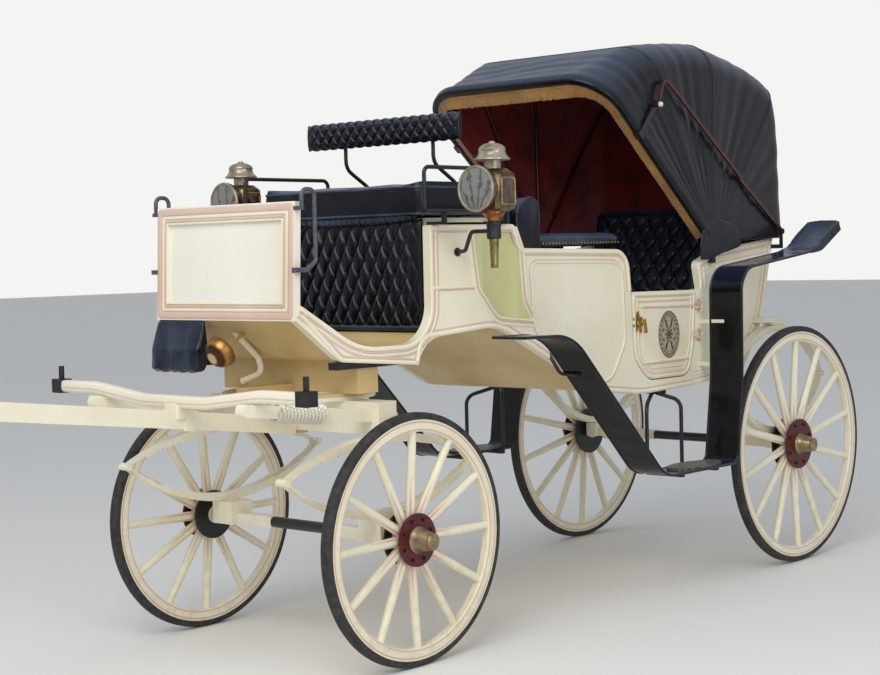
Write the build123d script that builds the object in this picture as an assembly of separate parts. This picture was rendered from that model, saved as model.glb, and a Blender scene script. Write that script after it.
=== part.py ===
from build123d import *
import math
import os

os.makedirs("parts", exist_ok=True)

# Millimetres. +X is forward, +Y is the carriage's left side, +Z is up.
# Places are written from the ground point under the middle of the rear axle,
# and every piece is shifted by MIDDLE_X as it is written.

# Wheels and axles
REAR_WHEEL_R = 571
FRONT_WHEEL_R = 475
WHEELBASE = 2680
FRONT_TRACK = 1206
REAR_TRACK = 1320
FRONT_SPOKES = 12
REAR_SPOKES = 14
TYRE_W = 44
TYRE_DEPTH = 26
FELLOE_DEPTH = 46
FELLOE_W = 40
SPOKE_FOOT_R = 20
SPOKE_TIP_R = 15
DISH = 26
NAVE_R = 62
FRONT_FLANGE_R = 100
REAR_FLANGE_R = 120
FLANGE_T = 9
HUB_HALF = 34
CAP_L = 80
CAP_R = (44, 26)
AXLE_R = 21
AXLE_RUN = 0.08
BEAM = 46

# Pole and draught gear
POLE_TIP_X = 5940
POLE_FOOT_X = 2729
POLE_W = 62
POLE_H = 66
POLE_RISE = 7.2
POLE_FOOT_Z = 877
SPLINTER_X = 3303
SPLINTER_Z = 1053
SPLINTER_HALF = 720
SPLINTER_DIP = 35
SPLINTER_H = 46
SPLINTER_W = 46
END_CAP_IN = 52
END_CAP_OUT = 5
END_CAP_HALF = 27
ROLLER_IN = 24
ROLLER_R = 11
ROLLER_TOP = 50
FUTCHELL_Y = 424
FUTCHELL_X = (2590, 3372)
FUTCHELL_W = 44
FUTCHELL_H = 46
FUTCHELL_RISE = 6.4

# Body shell
BODY_HALF = 500
DASH_HALF = 390
WALL = 34
SWEEP_X = 1000
DASH_X = 3052
DASH_Z = (1303, 1738)
DASH_T = 30
FLOOR_T = 20
FIT = 0.3
GAP = 5

# Doors
DOOR_FRONT_X = 1126
DOOR_REAR_X = 622
DOOR_TOP_Z = 1345
DOOR_FOOT_Z = 958
HINGE_X = 606
HINGE_Y = 519
HINGE_R = 7

# Seats
DRIVER_SEAT_X = (1985, 2430)
DRIVER_SEAT_Z = 1676
REAR_SEAT_X = (140, 530)
REAR_SEAT_Z = 1185
FACING_SEAT_X = (1440, 1766)
FACING_SEAT_Z = 1240

# Turntable and springs
RING_R = 300
RING_W = 42
RING_T = 14
RING_Z = 1000
KING_R = 18
SPRING_W = 44
LEAF_T = 8
LEAVES = 4
# Rises of a spring's lower and upper halves from its eyes
FRONT_SPRING_Y = FRONT_TRACK / 2 - 153
FRONT_SPRING_HALF = 514
FRONT_SPRING_RISE = (187, 123)
FRONT_SPRING_SEAT = 46
REAR_SPRING_Y = REAR_TRACK / 2 - 115
REAR_SPRING_HALF = 420
REAR_SPRING_RISE = (262, 262)
REAR_SPRING_SEAT = 24

# Wings and steps
WING_Y = (566, 732)
WING_T = 6
WING_X = 600
WING_TOP_Z = 1431
STEP_Z = 552
FRONT_WING_TIP = (2160, 1200)

# Folding hood
HOOD_PIVOT = (500, 1556)
LEATHER_T = 8
IRON_FOOT = (-90, 1604)
IRON_KNUCKLE = (305.7, 1862.5)
IRON_HEAD = (972, 2172)
IRON_W = 16
IRON_T = 10

MIDDLE_X = (POLE_TIP_X - REAR_WHEEL_R) / 2
PLACE = Pos(-MIDDLE_X, 0, 0)
NODES = {}


def keep(name, *shapes):
    """Stores the solids of one named piece."""
    solids = []
    for shape in shapes:
        solids += list(shape.solids())
    NODES[name] = solids[0] if len(solids) == 1 else Compound(children=solids)


def across(face, y_low, y_high):
    """A side view drawn as x and z, carried straight across from y_low to y_high."""
    return Pos(0, y_high, 0) * Rot(90, 0, 0) * extrude(face, amount=y_high - y_low)


def outline(table):
    """A closed side view from rows of x, z and corner radius."""
    points = [(row[0], row[1]) for row in table]
    radii = [row[2] for row in table]
    return make_face(FilletPolyline(*points, radius=radii, close=True))


def strip(table, thickness):
    """A bent strip's side view: rows of x, z and bend radius along its middle line."""
    points = [(row[0], row[1]) for row in table]
    radii = [row[2] for row in table[1:-1]]
    return trace(FilletPolyline(*points, radius=radii), line_width=thickness)


def rod(points, radius, bends):
    """A round iron bent along points."""
    path = FilletPolyline(*points, radius=bends) if len(points) > 2 else Line(*points)
    start = Plane(origin=path @ 0, z_dir=path % 0)
    return sweep(start * Circle(radius), path=path)


def block(x, y, z):
    """A straight block between pairs of low and high values."""
    size = Box(x[1] - x[0], y[1] - y[0], z[1] - z[0])
    return Pos((x[0] + x[1]) / 2, (y[0] + y[1]) / 2, (z[0] + z[1]) / 2) * size


def drum(x, z, y_low, y_high, radius, radius_end=None):
    """A turned piece with its axis along Y, straight or tapered towards y_high."""
    height = y_high - y_low
    solid = Cylinder(radius, height) if radius_end is None else Cone(radius, radius_end, height)
    return Pos(x, (y_low + y_high) / 2, z) * Rot(-90, 0, 0) * solid


def post(x, y, z_low, z_high, radius):
    """An upright round piece."""
    return Pos(x, y, (z_low + z_high) / 2) * Cylinder(radius, z_high - z_low)


def mirrored(shape):
    """The same piece on the other side."""
    return mirror(shape, about=Plane.XZ)


def unmoved(shape):
    """The piece as drawn, on the left side."""
    return shape


BOTH_SIDES = (unmoved, mirrored)


# Plan of the body: straight beside the passengers, sweeping in to the dashboard.
SWEEP_R = ((DASH_X - SWEEP_X) ** 2 + (BODY_HALF - DASH_HALF) ** 2) / (2 * (BODY_HALF - DASH_HALF))
BODY_BACK_X = -70
TALL = (700, 1900)


def half_width(x):
    """Outer half width of the body at x."""
    if x <= SWEEP_X:
        return BODY_HALF
    return BODY_HALF - SWEEP_R + math.sqrt(SWEEP_R ** 2 - (x - SWEEP_X) ** 2)


def plan(inset, x_low=BODY_BACK_X - 60, x_high=DASH_X):
    """The body's plan, drawn in by inset on each side, standing from below to above it."""
    middle_x = (SWEEP_X + x_high) / 2
    left = [
        Line((x_low, 0), (x_low, BODY_HALF - inset)),
        Line((x_low, BODY_HALF - inset), (SWEEP_X, BODY_HALF - inset)),
        ThreePointArc((SWEEP_X, BODY_HALF - inset),
                      (middle_x, half_width(middle_x) - inset),
                      (x_high, half_width(x_high) - inset)),
        Line((x_high, half_width(x_high) - inset), (x_high, 0)),
        Line((x_high, 0), (x_low, 0)),
    ]
    half = extrude(make_face(left), amount=TALL[1] - TALL[0])
    return Pos(0, 0, TALL[0]) * (half + mirrored(half))


BODY_OUTSIDE = plan(0)
BODY_INSIDE = plan(WALL)
BOARDS_FIT = plan(WALL + FIT)
LEFT_SIDE = block((-500, 3500), (0, 900), TALL)

# Side view of the shell. Columns: x, z, corner radius.
ARCH = [
    (1395, 925, 160),
    (2010, 1238, 330),
    (2440, 1206, 130),
    (2462, 1108, 4),
]
SIDE_VIEW = [
    (DASH_X - 4, 1301, 4),
    (DASH_X - 16, 1362, 5),
    (2760, 1190, 330),
    (2392, 1190, 150),
    (2390, 1648, 8),
    (1905, 1648, 22),
    (1872, 1550, 45),
    (1150, 1534, 95),
    (1131, DOOR_TOP_Z + 2, 4),
    (575, DOOR_TOP_Z - 4, 4),
    (606, 1466, 30),
    (440, 1521, 160),
    (BODY_BACK_X, 1572, 5),
    (50, 1150, 500),
    (228, 926, 60),
    (700, 898, 900),
    (1060, 888, 600),
] + ARCH + [
    (2850, 1142, 60),
]
DOOR_VIEW = [
    (DOOR_FRONT_X, DOOR_TOP_Z, 6),
    (DOOR_FRONT_X - 12, DOOR_FOOT_Z + 90, 110),
    (1010, DOOR_FOOT_Z - 8, 110),
    (690, DOOR_FOOT_Z - 8, 70),
    (DOOR_REAR_X + 24, 1080, 60),
    (DOOR_REAR_X, DOOR_TOP_Z - 6, 6),
]

# Dashboard with its sunk panel
dash_half_z = (DASH_Z[1] - DASH_Z[0]) / 2
dash = block((-DASH_T / 2, DASH_T / 2), (-DASH_HALF, DASH_HALF), (-dash_half_z, dash_half_z))
DASH_RIM = 68
dash -= block((DASH_T / 2 - 9, DASH_T), (-DASH_HALF + DASH_RIM, DASH_HALF - DASH_RIM),
              (-dash_half_z + DASH_RIM, dash_half_z - DASH_RIM))
DASH_LEAN = -2.6
dash = Pos(DASH_X - DASH_T / 2 + 1, 0, DASH_Z[0] + dash_half_z) * Rot(0, DASH_LEAN, 0) * dash
keep("dashboard", dash)

shell = BODY_OUTSIDE - BODY_INSIDE
door_hole = across(offset(outline(DOOR_VIEW), GAP), -900, 900)
door_hole += block((DOOR_REAR_X + 40, DOOR_FRONT_X - 40), (-900, 900), (DOOR_TOP_Z - 60, 1500))
side = shell & across(outline(SIDE_VIEW), 0, 900) & LEFT_SIDE
# The concave quarter where the driver's part meets the wider passengers' part.
COVE_DEPTH = 20
COVE_VIEW = [
    (2150, 1622, 8),
    (2120, 1390, 60),
    (2010, 1268, 90),
    (1830, 1250, 30),
    (1875, 1622, 40),
]
cove_block = across(outline(COVE_VIEW), 0, 900)
COVE_R = 260
cove = cove_block & post(2010, half_width(2010) + COVE_R - COVE_DEPTH, 1200, 1640, COVE_R)
side = side - door_hole - cove - dash
keep("body_side_left", side)
keep("body_side_right", mirrored(side))

# Doors and their hinges
door = shell & across(outline(DOOR_VIEW), 0, 900)
KNUCKLE_Z = (1130, 1268)
KNUCKLE_L = 34
hinge_leaves = []
hinge_pins = []
for z in KNUCKLE_Z:
    pin_half = KNUCKLE_L / 2 + 13
    hinge_pins.append(post(HINGE_X, HINGE_Y, z - pin_half, z + pin_half, HINGE_R - 3))
    barrel = post(HINGE_X, HINGE_Y, z - KNUCKLE_L / 2, z + KNUCKLE_L / 2, HINGE_R + 2)
    leaf = block((HINGE_X, DOOR_REAR_X + 38), (BODY_HALF, BODY_HALF + 5), (z - 15, z + 15))
    bridge = block((HINGE_X, HINGE_X + 24), (BODY_HALF + 3, HINGE_Y + 6), (z - 15, z + 15))
    knuckle = barrel + leaf + bridge
    knuckle -= post(HINGE_X, HINGE_Y, z - 60, z + 60, HINGE_R - 3 + AXLE_RUN)
    hinge_leaves.append(knuckle)
    for end in (-1, 1):
        low = z + end * (KNUCKLE_L / 2 + 7)
        ear = post(HINGE_X, HINGE_Y, low - 5.5, low + 5.5, HINGE_R + 2)
        ear += block((HINGE_X - 30, HINGE_X), (BODY_HALF, BODY_HALF + 5), (low - 5.5, low + 5.5))
        ear += block((HINGE_X - 14, HINGE_X), (BODY_HALF + 3, HINGE_Y), (low - 5.5, low + 5.5))
        hinge_pins[-1] += ear
HANDLE_X = 1085
HANDLE_Z = 1205
handle = drum(HANDLE_X, HANDLE_Z, BODY_HALF, BODY_HALF + 9, 17)
handle += drum(HANDLE_X, HANDLE_Z, BODY_HALF, BODY_HALF + 34, 6)
handle += Pos(HANDLE_X - 4, BODY_HALF + 38, HANDLE_Z - 12) * Rot(0, 10, 0) * Box(13, 10, 62)
for name, turn in (("left", unmoved), ("right", mirrored)):
    keep("door_" + name, turn(door))
    keep("door_hardware_" + name, *[turn(piece) for piece in hinge_leaves + [handle]])
keep("door_hinge_pins", *hinge_pins, *[mirrored(piece) for piece in hinge_pins])

# Floors between the side walls. Columns: x, z, bend radius along the middle line.
TOE_BOARD = [(DASH_X - 14, 1318, 0), (2805, 1150, 90), (2462 + FIT, 1150, 0)]
toe_board = across(strip(TOE_BOARD, FLOOR_T), -900, 900) & BOARDS_FIT
toe_board -= dash
HALF_FLOOR = FLOOR_T / 2
arch_line = [
    (2462 - HALF_FLOOR, 1110, 0),
    (2430, 1206 + HALF_FLOOR, 70),
    (2010, 1238 + HALF_FLOOR, 320),
    (1398, 925 + HALF_FLOOR, 150),
    (1290, 917 + HALF_FLOOR, 0),
]
floor = across(strip(arch_line, FLOOR_T), -900, 900)
floor += block((262, 1290), (-900, 900), (917, 917 + FLOOR_T))
BACK_LINE = [(BODY_BACK_X + 14, 1566, 0), (62, 1150, 500), (238, 944, 0)]
back_board = across(strip(BACK_LINE, FLOOR_T), -900, 900) & BOARDS_FIT
keep("body_boards", toe_board, floor & BOARDS_FIT, back_board)

# Driver's seat box between the walls, with the padded fall in front
seat_in = half_width(DRIVER_SEAT_X[1]) - WALL
BOX_T = 18
BOX_FOOT_Z = 1252
box_front = DRIVER_SEAT_X[1] - 60
driver_box = block((box_front - BOX_T, box_front), (-900, 900), (BOX_FOOT_Z, DRIVER_SEAT_Z - BOX_T))
driver_box += block((DRIVER_SEAT_X[0], box_front), (-900, 900), (DRIVER_SEAT_Z - BOX_T, DRIVER_SEAT_Z))
driver_box += block((DRIVER_SEAT_X[0], DRIVER_SEAT_X[0] + BOX_T), (-900, 900),
                    (BOX_FOOT_Z + 10, DRIVER_SEAT_Z - BOX_T))
fall = block((box_front + FIT, box_front + 38), (-seat_in + 6, seat_in - 6), (1234, DRIVER_SEAT_Z - 4))
CUSHION_T = 112
DRIVER_CUSHION_HALF = 452
cushion = block((DRIVER_SEAT_X[0] + 20, DRIVER_SEAT_X[1] + 14), (-DRIVER_CUSHION_HALF, DRIVER_CUSHION_HALF),
                (DRIVER_SEAT_Z + FIT, DRIVER_SEAT_Z + CUSHION_T))
driver_cushion = fillet(cushion.edges(), 24)

# Lazy-back pad on two stays, and the side rails of the driver's seat
PAD_X = 2170
PAD_HALF = 436
PAD_Z = (1992, 2092)
pad = block((PAD_X - 28, PAD_X + 28), (-PAD_HALF, PAD_HALF), PAD_Z)
keep("driver_seat_pads", driver_cushion, fall, fillet(pad.edges(), 20))
STAY_Y = 250
RAIL_Y = 510
RAIL_R = 8
RAIL_X = (1990, 2478)
RAIL_Z = (1700, 1868)
STAY_X = PAD_X - 28 - RAIL_R - FIT
stay_points = [(STAY_X, STAY_Y, PAD_Z[1] - 20), (STAY_X, STAY_Y, 1904), (RAIL_X[0] + 4, STAY_Y, 1822),
               (RAIL_X[0] + 2, STAY_Y, DRIVER_SEAT_Z - 1)]
stay = rod(stay_points, RAIL_R, [60, 40]) - driver_box
rail_points = [(RAIL_X[0], RAIL_Y, 1649 + RAIL_R), (RAIL_X[0], RAIL_Y, RAIL_Z[1]),
               (RAIL_X[1], RAIL_Y, RAIL_Z[1]), (RAIL_X[1], RAIL_Y, RAIL_Z[0]),
               (RAIL_X[0] + 60, RAIL_Y, RAIL_Z[0])]
rail = rod(rail_points, RAIL_R, [30, 26, 20])
for foot_x, foot_y in ((RAIL_X[0] + 58, 444), (RAIL_X[0], 444), (2368, 424)):
    rail += block((foot_x - 8, foot_x + 8), (foot_y, RAIL_Y + 8), (1648, 1660))
    rail += block((foot_x - 8, foot_x + 8), (RAIL_Y - 8, RAIL_Y + 8), (1648, RAIL_Z[0]))

# Grab irons beside the dashboard
grab_y = DASH_HALF + 24
GRAB_TOP = 1781
grab = rod([(DASH_X - 40, grab_y, 1490), (DASH_X - 84, grab_y, 1520), (DASH_X - 84, grab_y, GRAB_TOP),
            (DASH_X - 20, grab_y, GRAB_TOP), (DASH_X - 20, grab_y, 1715)], 8, [14, 26, 26])
grab += block((DASH_X - 48, DASH_X + 8), (DASH_HALF - 8, grab_y + 6), (1480, 1498)) - NODES["dashboard"]
grab += block((DASH_X - 28, DASH_X - 6), (DASH_HALF - 8, grab_y + 6), (1706, 1720)) - NODES["dashboard"]
keep("driver_seat_irons", *[turn(piece) for piece in (stay, rail, grab) for turn in BOTH_SIDES])

# Facing seat behind the driver
facing_box = block((FACING_SEAT_X[0], 1900), (-900, 900), (FACING_SEAT_Z - 26, FACING_SEAT_Z))
facing_box += block((FACING_SEAT_X[0], FACING_SEAT_X[0] + BOX_T), (-900, 900), (978, FACING_SEAT_Z - 26))
facing_half = half_width(FACING_SEAT_X[1]) - WALL - 3
cushion = block((FACING_SEAT_X[0] + 4, FACING_SEAT_X[1]), (-facing_half, facing_half),
                (FACING_SEAT_Z + FIT, FACING_SEAT_Z + 105))
facing_cushion = fillet(cushion.edges(), 28)
# Side view of its back: low between the walls, wide above their moulding.
BACKREST = [
    (1786, FACING_SEAT_Z + FIT, 8),
    (1722, 1735, 30),
    (1782, 1765, 30),
    (1880, 1712, 60),
    (1972, 1600, 10),
    (1972, 1252, 6),
    (1900, FACING_SEAT_Z + FIT, 6),
]
back_low = half_width(BACKREST[4][0]) - WALL - 3
back_high = half_width(BACKREST[4][0]) - 6
facing_back = across(outline(BACKREST), -back_high, back_high)
for sign in (-1, 1):
    low, high = sorted((sign * back_low, sign * 900))
    facing_back -= block((1600, 2100), (low, high), (1200, 1552))
facing_back = facing_back - side - mirrored(side)

# Rear seat under the hood
rear_half = BODY_HALF - WALL - 12
rear_box = block(REAR_SEAT_X, (-900, 900), (REAR_SEAT_Z - 24, REAR_SEAT_Z))
rear_box += block((REAR_SEAT_X[1] - BOX_T, REAR_SEAT_X[1]), (-900, 900), (917 + FLOOR_T, REAR_SEAT_Z - 24))
keep("seat_boxes", *[box & BOARDS_FIT for box in (driver_box, facing_box, rear_box)])
cushion = block((REAR_SEAT_X[0] + 28, REAR_SEAT_X[1] + 20), (-rear_half, rear_half),
                (REAR_SEAT_Z + FIT, REAR_SEAT_Z + 125))
keep("cabin_cushions", facing_cushion, fillet(cushion.edges(), 30))
REAR_BACK = [
    (140, 1205, 6),
    (162, 1330, 60),
    (104, 1640, 60),
    (90, 1735, 34),
    (20, 1735, 30),
    (-43.6, 1562, 12),
    (57.6, 1205, 6),
]
rear_back = across(outline(REAR_BACK), -rear_half, rear_half) - back_board
arm = block((1165, 1790), (BODY_HALF - WALL - 54, BODY_HALF - 6), (1551.5, 1610))
arm = fillet(arm.edges(), 16) - facing_back
keep("cabin_backs", facing_back, rear_back, arm, mirrored(arm))

# Lamps on brackets beside the driver's seat
LAMP = (2316, 715)
LAMP_BODY = 92
LAMP_Z = (1710, 1862)
LENS_Z = 1790
LENS_R = 88
case_x = (LAMP[0] - LAMP_BODY / 2, LAMP[0] + LAMP_BODY / 2)
case_y = (LAMP[1] - LAMP_BODY / 2, LAMP[1] + LAMP_BODY / 2)
case = block(case_x, case_y, LAMP_Z)
case = fillet(case.edges().filter_by(Axis.Z), 18)
case += Pos(case_x[1] + 14, LAMP[1], LENS_Z) * Rot(0, 90, 0) * Cylinder(LENS_R, 32)
# Half outlines of the chimney with its cap, and of the cup, socket and candle tube below.
LAMP_TOP = LAMP_Z[1]
CAP_PROFILE = [(0, -2), (30, -2), (30, 22), (70, 22), (70, 28), (54, 50), (44, 74), (18, 90), (0, 93)]
CUP_PROFILE = [(0, 1476), (15, 1476), (19, 1586), (27, 1588), (27, 1652), (20, 1656), (40, 1700),
               (40, LAMP_Z[0]), (0, LAMP_Z[0])]
cap_face = make_face(Polyline(*[(r, LAMP_TOP + z) for r, z in CAP_PROFILE], close=True))
cup_face = make_face(Polyline(*CUP_PROFILE, close=True))
for face in (cap_face, cup_face):
    case += Pos(LAMP[0], LAMP[1], 0) * revolve(Plane.XZ * face, Axis.Z)
keep("lamps", case, mirrored(case))
# The scrolled bracket from the body's side to the lamp's socket
foot_y = half_width(2240)
scroll = rod([(LAMP[0], LAMP[1] - 20, 1617), (2312, 598, 1617), (2262, 522, 1544), (2240, foot_y, 1540)],
             8, [44, 40])
scroll += drum(2240, 1540, foot_y - 1.5, foot_y + 5, 17)
BODY_IRONS = [scroll - case]

# Foot gong and the scrolled stay under the toe board
GONG = (3070, 0, 1190)
gong = Pos(*GONG) * Rot(0, 118, 0) * (Sphere(63) - Sphere(59) - Pos(0, 0, -63) * Box(140, 140, 126))
gong += Pos(*GONG) * Rot(0, 118, 0) * Pos(0, 0, -38) * Cylinder(7, 198)
gong -= toe_board
toe_stay = rod([(2975, -35, 1255), (2858, -35, 1150), (2838, -35, 1092), (2945, -35, 1066)], 12, [40, 30])
toe_stay -= toe_board
keep("foot_gong", gong)
keep("toe_board_stay", toe_stay)
FLAP = [
    (3062, 1308, 3),
    (3104, 1190, 60),
    (3112, 1100, 6),
    (3046, 1100, 20),
    (3034, 1200, 40),
    (3042, 1308, 3),
]
keep("splash_flap", across(outline(FLAP), -400, -110) - dash)

# Wings from the front scoop over the steps to the rear scoop.
# Columns: x, z, bend radius.
WING_LINE = [
    (FRONT_WING_TIP[0], FRONT_WING_TIP[1], 0),
    (1860, 1196, 260),
    (1225, STEP_Z, 180),
    (WING_X + 55, STEP_Z, 40),
    (WING_X, 940, 500),
    (WING_X - 6, WING_TOP_Z, 120),
    (-130, WING_TOP_Z + 81, 150),
    (-320, WING_TOP_Z + 181, 0),
]
wing = across(strip(WING_LINE, WING_T), WING_Y[0], WING_Y[1])
keep("wings", wing, mirrored(wing))
TREAD = (874, 645)
tread = Pos(*TREAD, STEP_Z + WING_T / 2 + 5) * extrude(Ellipse(182, 84), amount=5, both=True)
keep("step_treads", tread, mirrored(tread))
# Two irons spread from one foot under the body to the ends of the step.
IRON_TOP_X = 905
IRON_X = (800, 1072)
iron_z = STEP_Z - WING_T / 2
step_iron = block((IRON_TOP_X - 30, IRON_TOP_X + 30), (430, 500), (878, 905)) - side
for x in IRON_X:
    near_x = IRON_TOP_X + (x - IRON_TOP_X) * 0.12
    leg = [(x, 560, iron_z - 9), (x, 530, iron_z - 9), (x, 530, 840), (near_x, 458, 880)]
    step_iron += rod(leg, 9, [20, 55])
    step_iron += block((x - 12, x + 12), (530, 720), (iron_z - 16, iron_z))
BODY_IRONS.append(step_iron)
# Stays from the body to the wings
wing_stay = rod([(1700, 478, 1112), (1700, 540, 1024), (1700, 640, 1024)], 8, [40])
BODY_IRONS.append(wing_stay - side - wing)
for z in (995, 1192):
    BODY_IRONS.append(block((WING_X - 14, WING_X), (BODY_HALF, 640), (z - 9, z + 9)) - wing)


def leaf_stack(x, z, half, rise, sign):
    """One half of an elliptic spring: leaves of falling length, sprung up or down from the eyes."""
    stack = None
    radius = (half ** 2 + rise ** 2) / (2 * rise)
    for row in range(LEAVES):
        reach = half * (1 - 0.17 * row)
        top = rise - LEAF_T * row
        drop = radius - math.sqrt(radius ** 2 - reach ** 2)
        arc = ThreePointArc((x - reach, z + sign * (top - drop)), (x, z + sign * top),
                            (x + reach, z + sign * (top - drop)))
        leaf = trace(arc, line_width=LEAF_T)
        stack = leaf if stack is None else stack + leaf
    return stack


def elliptic(x, z, half, rises, y):
    """A full elliptic spring across y, with its eyes and centre clips."""
    both = leaf_stack(x, z, half, rises[1], 1) + leaf_stack(x, z, half, rises[0], -1)
    spring = across(both, y - SPRING_W / 2, y + SPRING_W / 2)
    for end in (-1, 1):
        spring += drum(x + end * half, z, y - SPRING_W / 2 - 3, y + SPRING_W / 2 + 3, 15)
    return spring


front_spring_z = FRONT_WHEEL_R + BEAM / 2 + FRONT_SPRING_SEAT + FRONT_SPRING_RISE[0] + LEAF_T / 2
rear_spring_z = REAR_WHEEL_R + BEAM / 2 + REAR_SPRING_SEAT + REAR_SPRING_RISE[0] + LEAF_T / 2
front_spring = elliptic(WHEELBASE, front_spring_z, FRONT_SPRING_HALF, FRONT_SPRING_RISE, FRONT_SPRING_Y)
rear_spring = elliptic(0, rear_spring_z, REAR_SPRING_HALF, REAR_SPRING_RISE, REAR_SPRING_Y)
keep("front_springs", front_spring, mirrored(front_spring))
keep("rear_springs", rear_spring, mirrored(rear_spring))
front_top_z = front_spring_z + FRONT_SPRING_RISE[1] + LEAF_T / 2
rear_top_z = rear_spring_z + REAR_SPRING_RISE[1] + LEAF_T / 2


# Square beds run from AXLE_WAIST out; between them the axle is a round bar.
AXLE_WAIST = 166


def axle(x, z, track, spring_y, seat, seat_in):
    """An axle with square beds, clip blocks at the springs and round arms in the hubs."""
    foot = track / 2 - DISH
    shoulder = foot - HUB_HALF - 26
    beam = drum(x, z, -AXLE_WAIST - 5, AXLE_WAIST + 5, BEAM / 2 - 1)
    for side_sign in (-1, 1):
        low, high = sorted((side_sign * AXLE_WAIST, side_sign * shoulder))
        beam += block((x - BEAM / 2, x + BEAM / 2), (low, high), (z - BEAM / 2, z + BEAM / 2))
        low, high = sorted((side_sign * (spring_y - seat_in), side_sign * (spring_y + SPRING_W / 2 + 7)))
        beam += block((x - 55, x + 55), (low, high), (z - BEAM / 2, z + BEAM / 2 + seat))
        low, high = sorted((side_sign * (shoulder - 5), side_sign * (foot + HUB_HALF + 20)))
        beam += drum(x, z, low, high, AXLE_R)
        low, high = sorted((side_sign * (shoulder - 2), side_sign * (foot - HUB_HALF - 12)))
        beam += drum(x, z, low, high, 36)
    return beam


front_axle = axle(WHEELBASE, FRONT_WHEEL_R, FRONT_TRACK, FRONT_SPRING_Y, FRONT_SPRING_SEAT, 90)
rear_axle = axle(0, REAR_WHEEL_R, REAR_TRACK, REAR_SPRING_Y, REAR_SPRING_SEAT, 29)
keep("front_axle", front_axle)
keep("rear_axle", rear_axle)

# Irons that carry the body's rear corners on the springs
hanger = block((-60, 60), (REAR_SPRING_Y - 30, REAR_SPRING_Y + 30), (rear_top_z, rear_top_z + 12))
hanger += block((-40, 130), (BODY_HALF, REAR_SPRING_Y + 20), (rear_top_z + 12, rear_top_z + 34))
keep("rear_hangers", *[turn(hanger - side) for turn in BOTH_SIDES])

# Turntable: top bed and ring on the body, lower ring and bed on the fore-carriage
TOP_BED_Z = RING_Z + RING_T
BED_TOP = RING_Z - FIT - RING_T
top_bed = block((WHEELBASE - 55, WHEELBASE + 55), (-380, 380), (TOP_BED_Z, 1140))
ring = Cylinder(RING_R, RING_T) - Cylinder(RING_R - RING_W, RING_T)
top_bed += Pos(WHEELBASE, 0, RING_Z + RING_T / 2) * ring
top_bed += block((WHEELBASE - RING_R, WHEELBASE + RING_R), (-30, 30), (TOP_BED_Z, TOP_BED_Z + 30))
top_bed += post(WHEELBASE, 0, front_top_z - 14, TOP_BED_Z, KING_R)
top_bed += post(WHEELBASE, 0, front_top_z - 16, front_top_z - FIT, KING_R + 12)
keep("top_bed", top_bed)
rocker_y = 372
rocker = block((2500, 2860), (rocker_y - 20, rocker_y + 24), (1112, 1139.7)) - top_bed
BODY_IRONS.append(rocker)

# Futchells under the splinter bar, tilted like the pole
futchell_l = FUTCHELL_X[1] - FUTCHELL_X[0]
futchell = block((0, futchell_l), (-FUTCHELL_W / 2, FUTCHELL_W / 2), (-FUTCHELL_H / 2, FUTCHELL_H / 2))
futchell = fillet(futchell.edges().filter_by(Axis.Y), 20)
futchell = Pos(FUTCHELL_X[0], FUTCHELL_Y, 919) * Rot(0, -FUTCHELL_RISE, 0) * futchell
SERPENTINE = [
    (-SPLINTER_HALF, 0, 0),
    (-470, 0, 260),
    (-180, -SPLINTER_DIP, 260),
    (180, -SPLINTER_DIP, 260),
    (470, 0, 260),
    (SPLINTER_HALF, 0, 0),
]
bar = Plane.YZ * extrude(strip(SERPENTINE, SPLINTER_H), amount=SPLINTER_W / 2, both=True)
bar = Pos(SPLINTER_X, 0, SPLINTER_Z) * bar
slope = math.radians(POLE_RISE)
pole_l = (POLE_TIP_X - POLE_FOOT_X - POLE_H / 2 * math.sin(slope)) / math.cos(slope)
pole = Pos(pole_l / 2, 0, 0) * Box(pole_l, POLE_W, POLE_H)
COLLAR_X = 536
pole += Pos(COLLAR_X, 0, 0) * Box(50, POLE_W + 16, POLE_H + 12)
pole = Pos(POLE_FOOT_X, 0, POLE_FOOT_Z) * Rot(0, -POLE_RISE, 0) * pole
bed_box = block((WHEELBASE - 48, WHEELBASE + 48), (-FRONT_SPRING_Y - 30, FRONT_SPRING_Y + 30),
                (front_top_z, BED_TOP))
pole -= bed_box
bar += block((SPLINTER_X - 26, SPLINTER_X + 26), (-40, 40), (960, SPLINTER_Z - SPLINTER_DIP))
bar -= pole
bar -= block((3200, 3400), (-100, 100), (800, 970))
props = block((SPLINTER_X - 20, SPLINTER_X + 20), (FUTCHELL_Y - 16, FUTCHELL_Y + 16), (990, SPLINTER_Z))
futchell = futchell + props - bar
keep("futchells", futchell, mirrored(futchell))
cap = block((SPLINTER_X - END_CAP_HALF, SPLINTER_X + END_CAP_HALF),
            (SPLINTER_HALF - END_CAP_IN, SPLINTER_HALF + END_CAP_OUT),
            (SPLINTER_Z - END_CAP_HALF, SPLINTER_Z + END_CAP_HALF))
bolt_z = SPLINTER_Z + END_CAP_HALF
cap += post(SPLINTER_X, SPLINTER_HALF - ROLLER_IN, bolt_z, bolt_z + ROLLER_TOP, ROLLER_R)
cap -= bar
keep("splinter_bar", bar)
keep("splinter_bar_ends", cap, mirrored(cap))
keep("pole", pole)
bed = bed_box + Pos(WHEELBASE, 0, BED_TOP + RING_T / 2) * ring
bed -= Pos(WHEELBASE, 0, 900) * Cylinder(KING_R + AXLE_RUN, 400)
keep("lower_bed", bed - futchell - mirrored(futchell))


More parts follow.
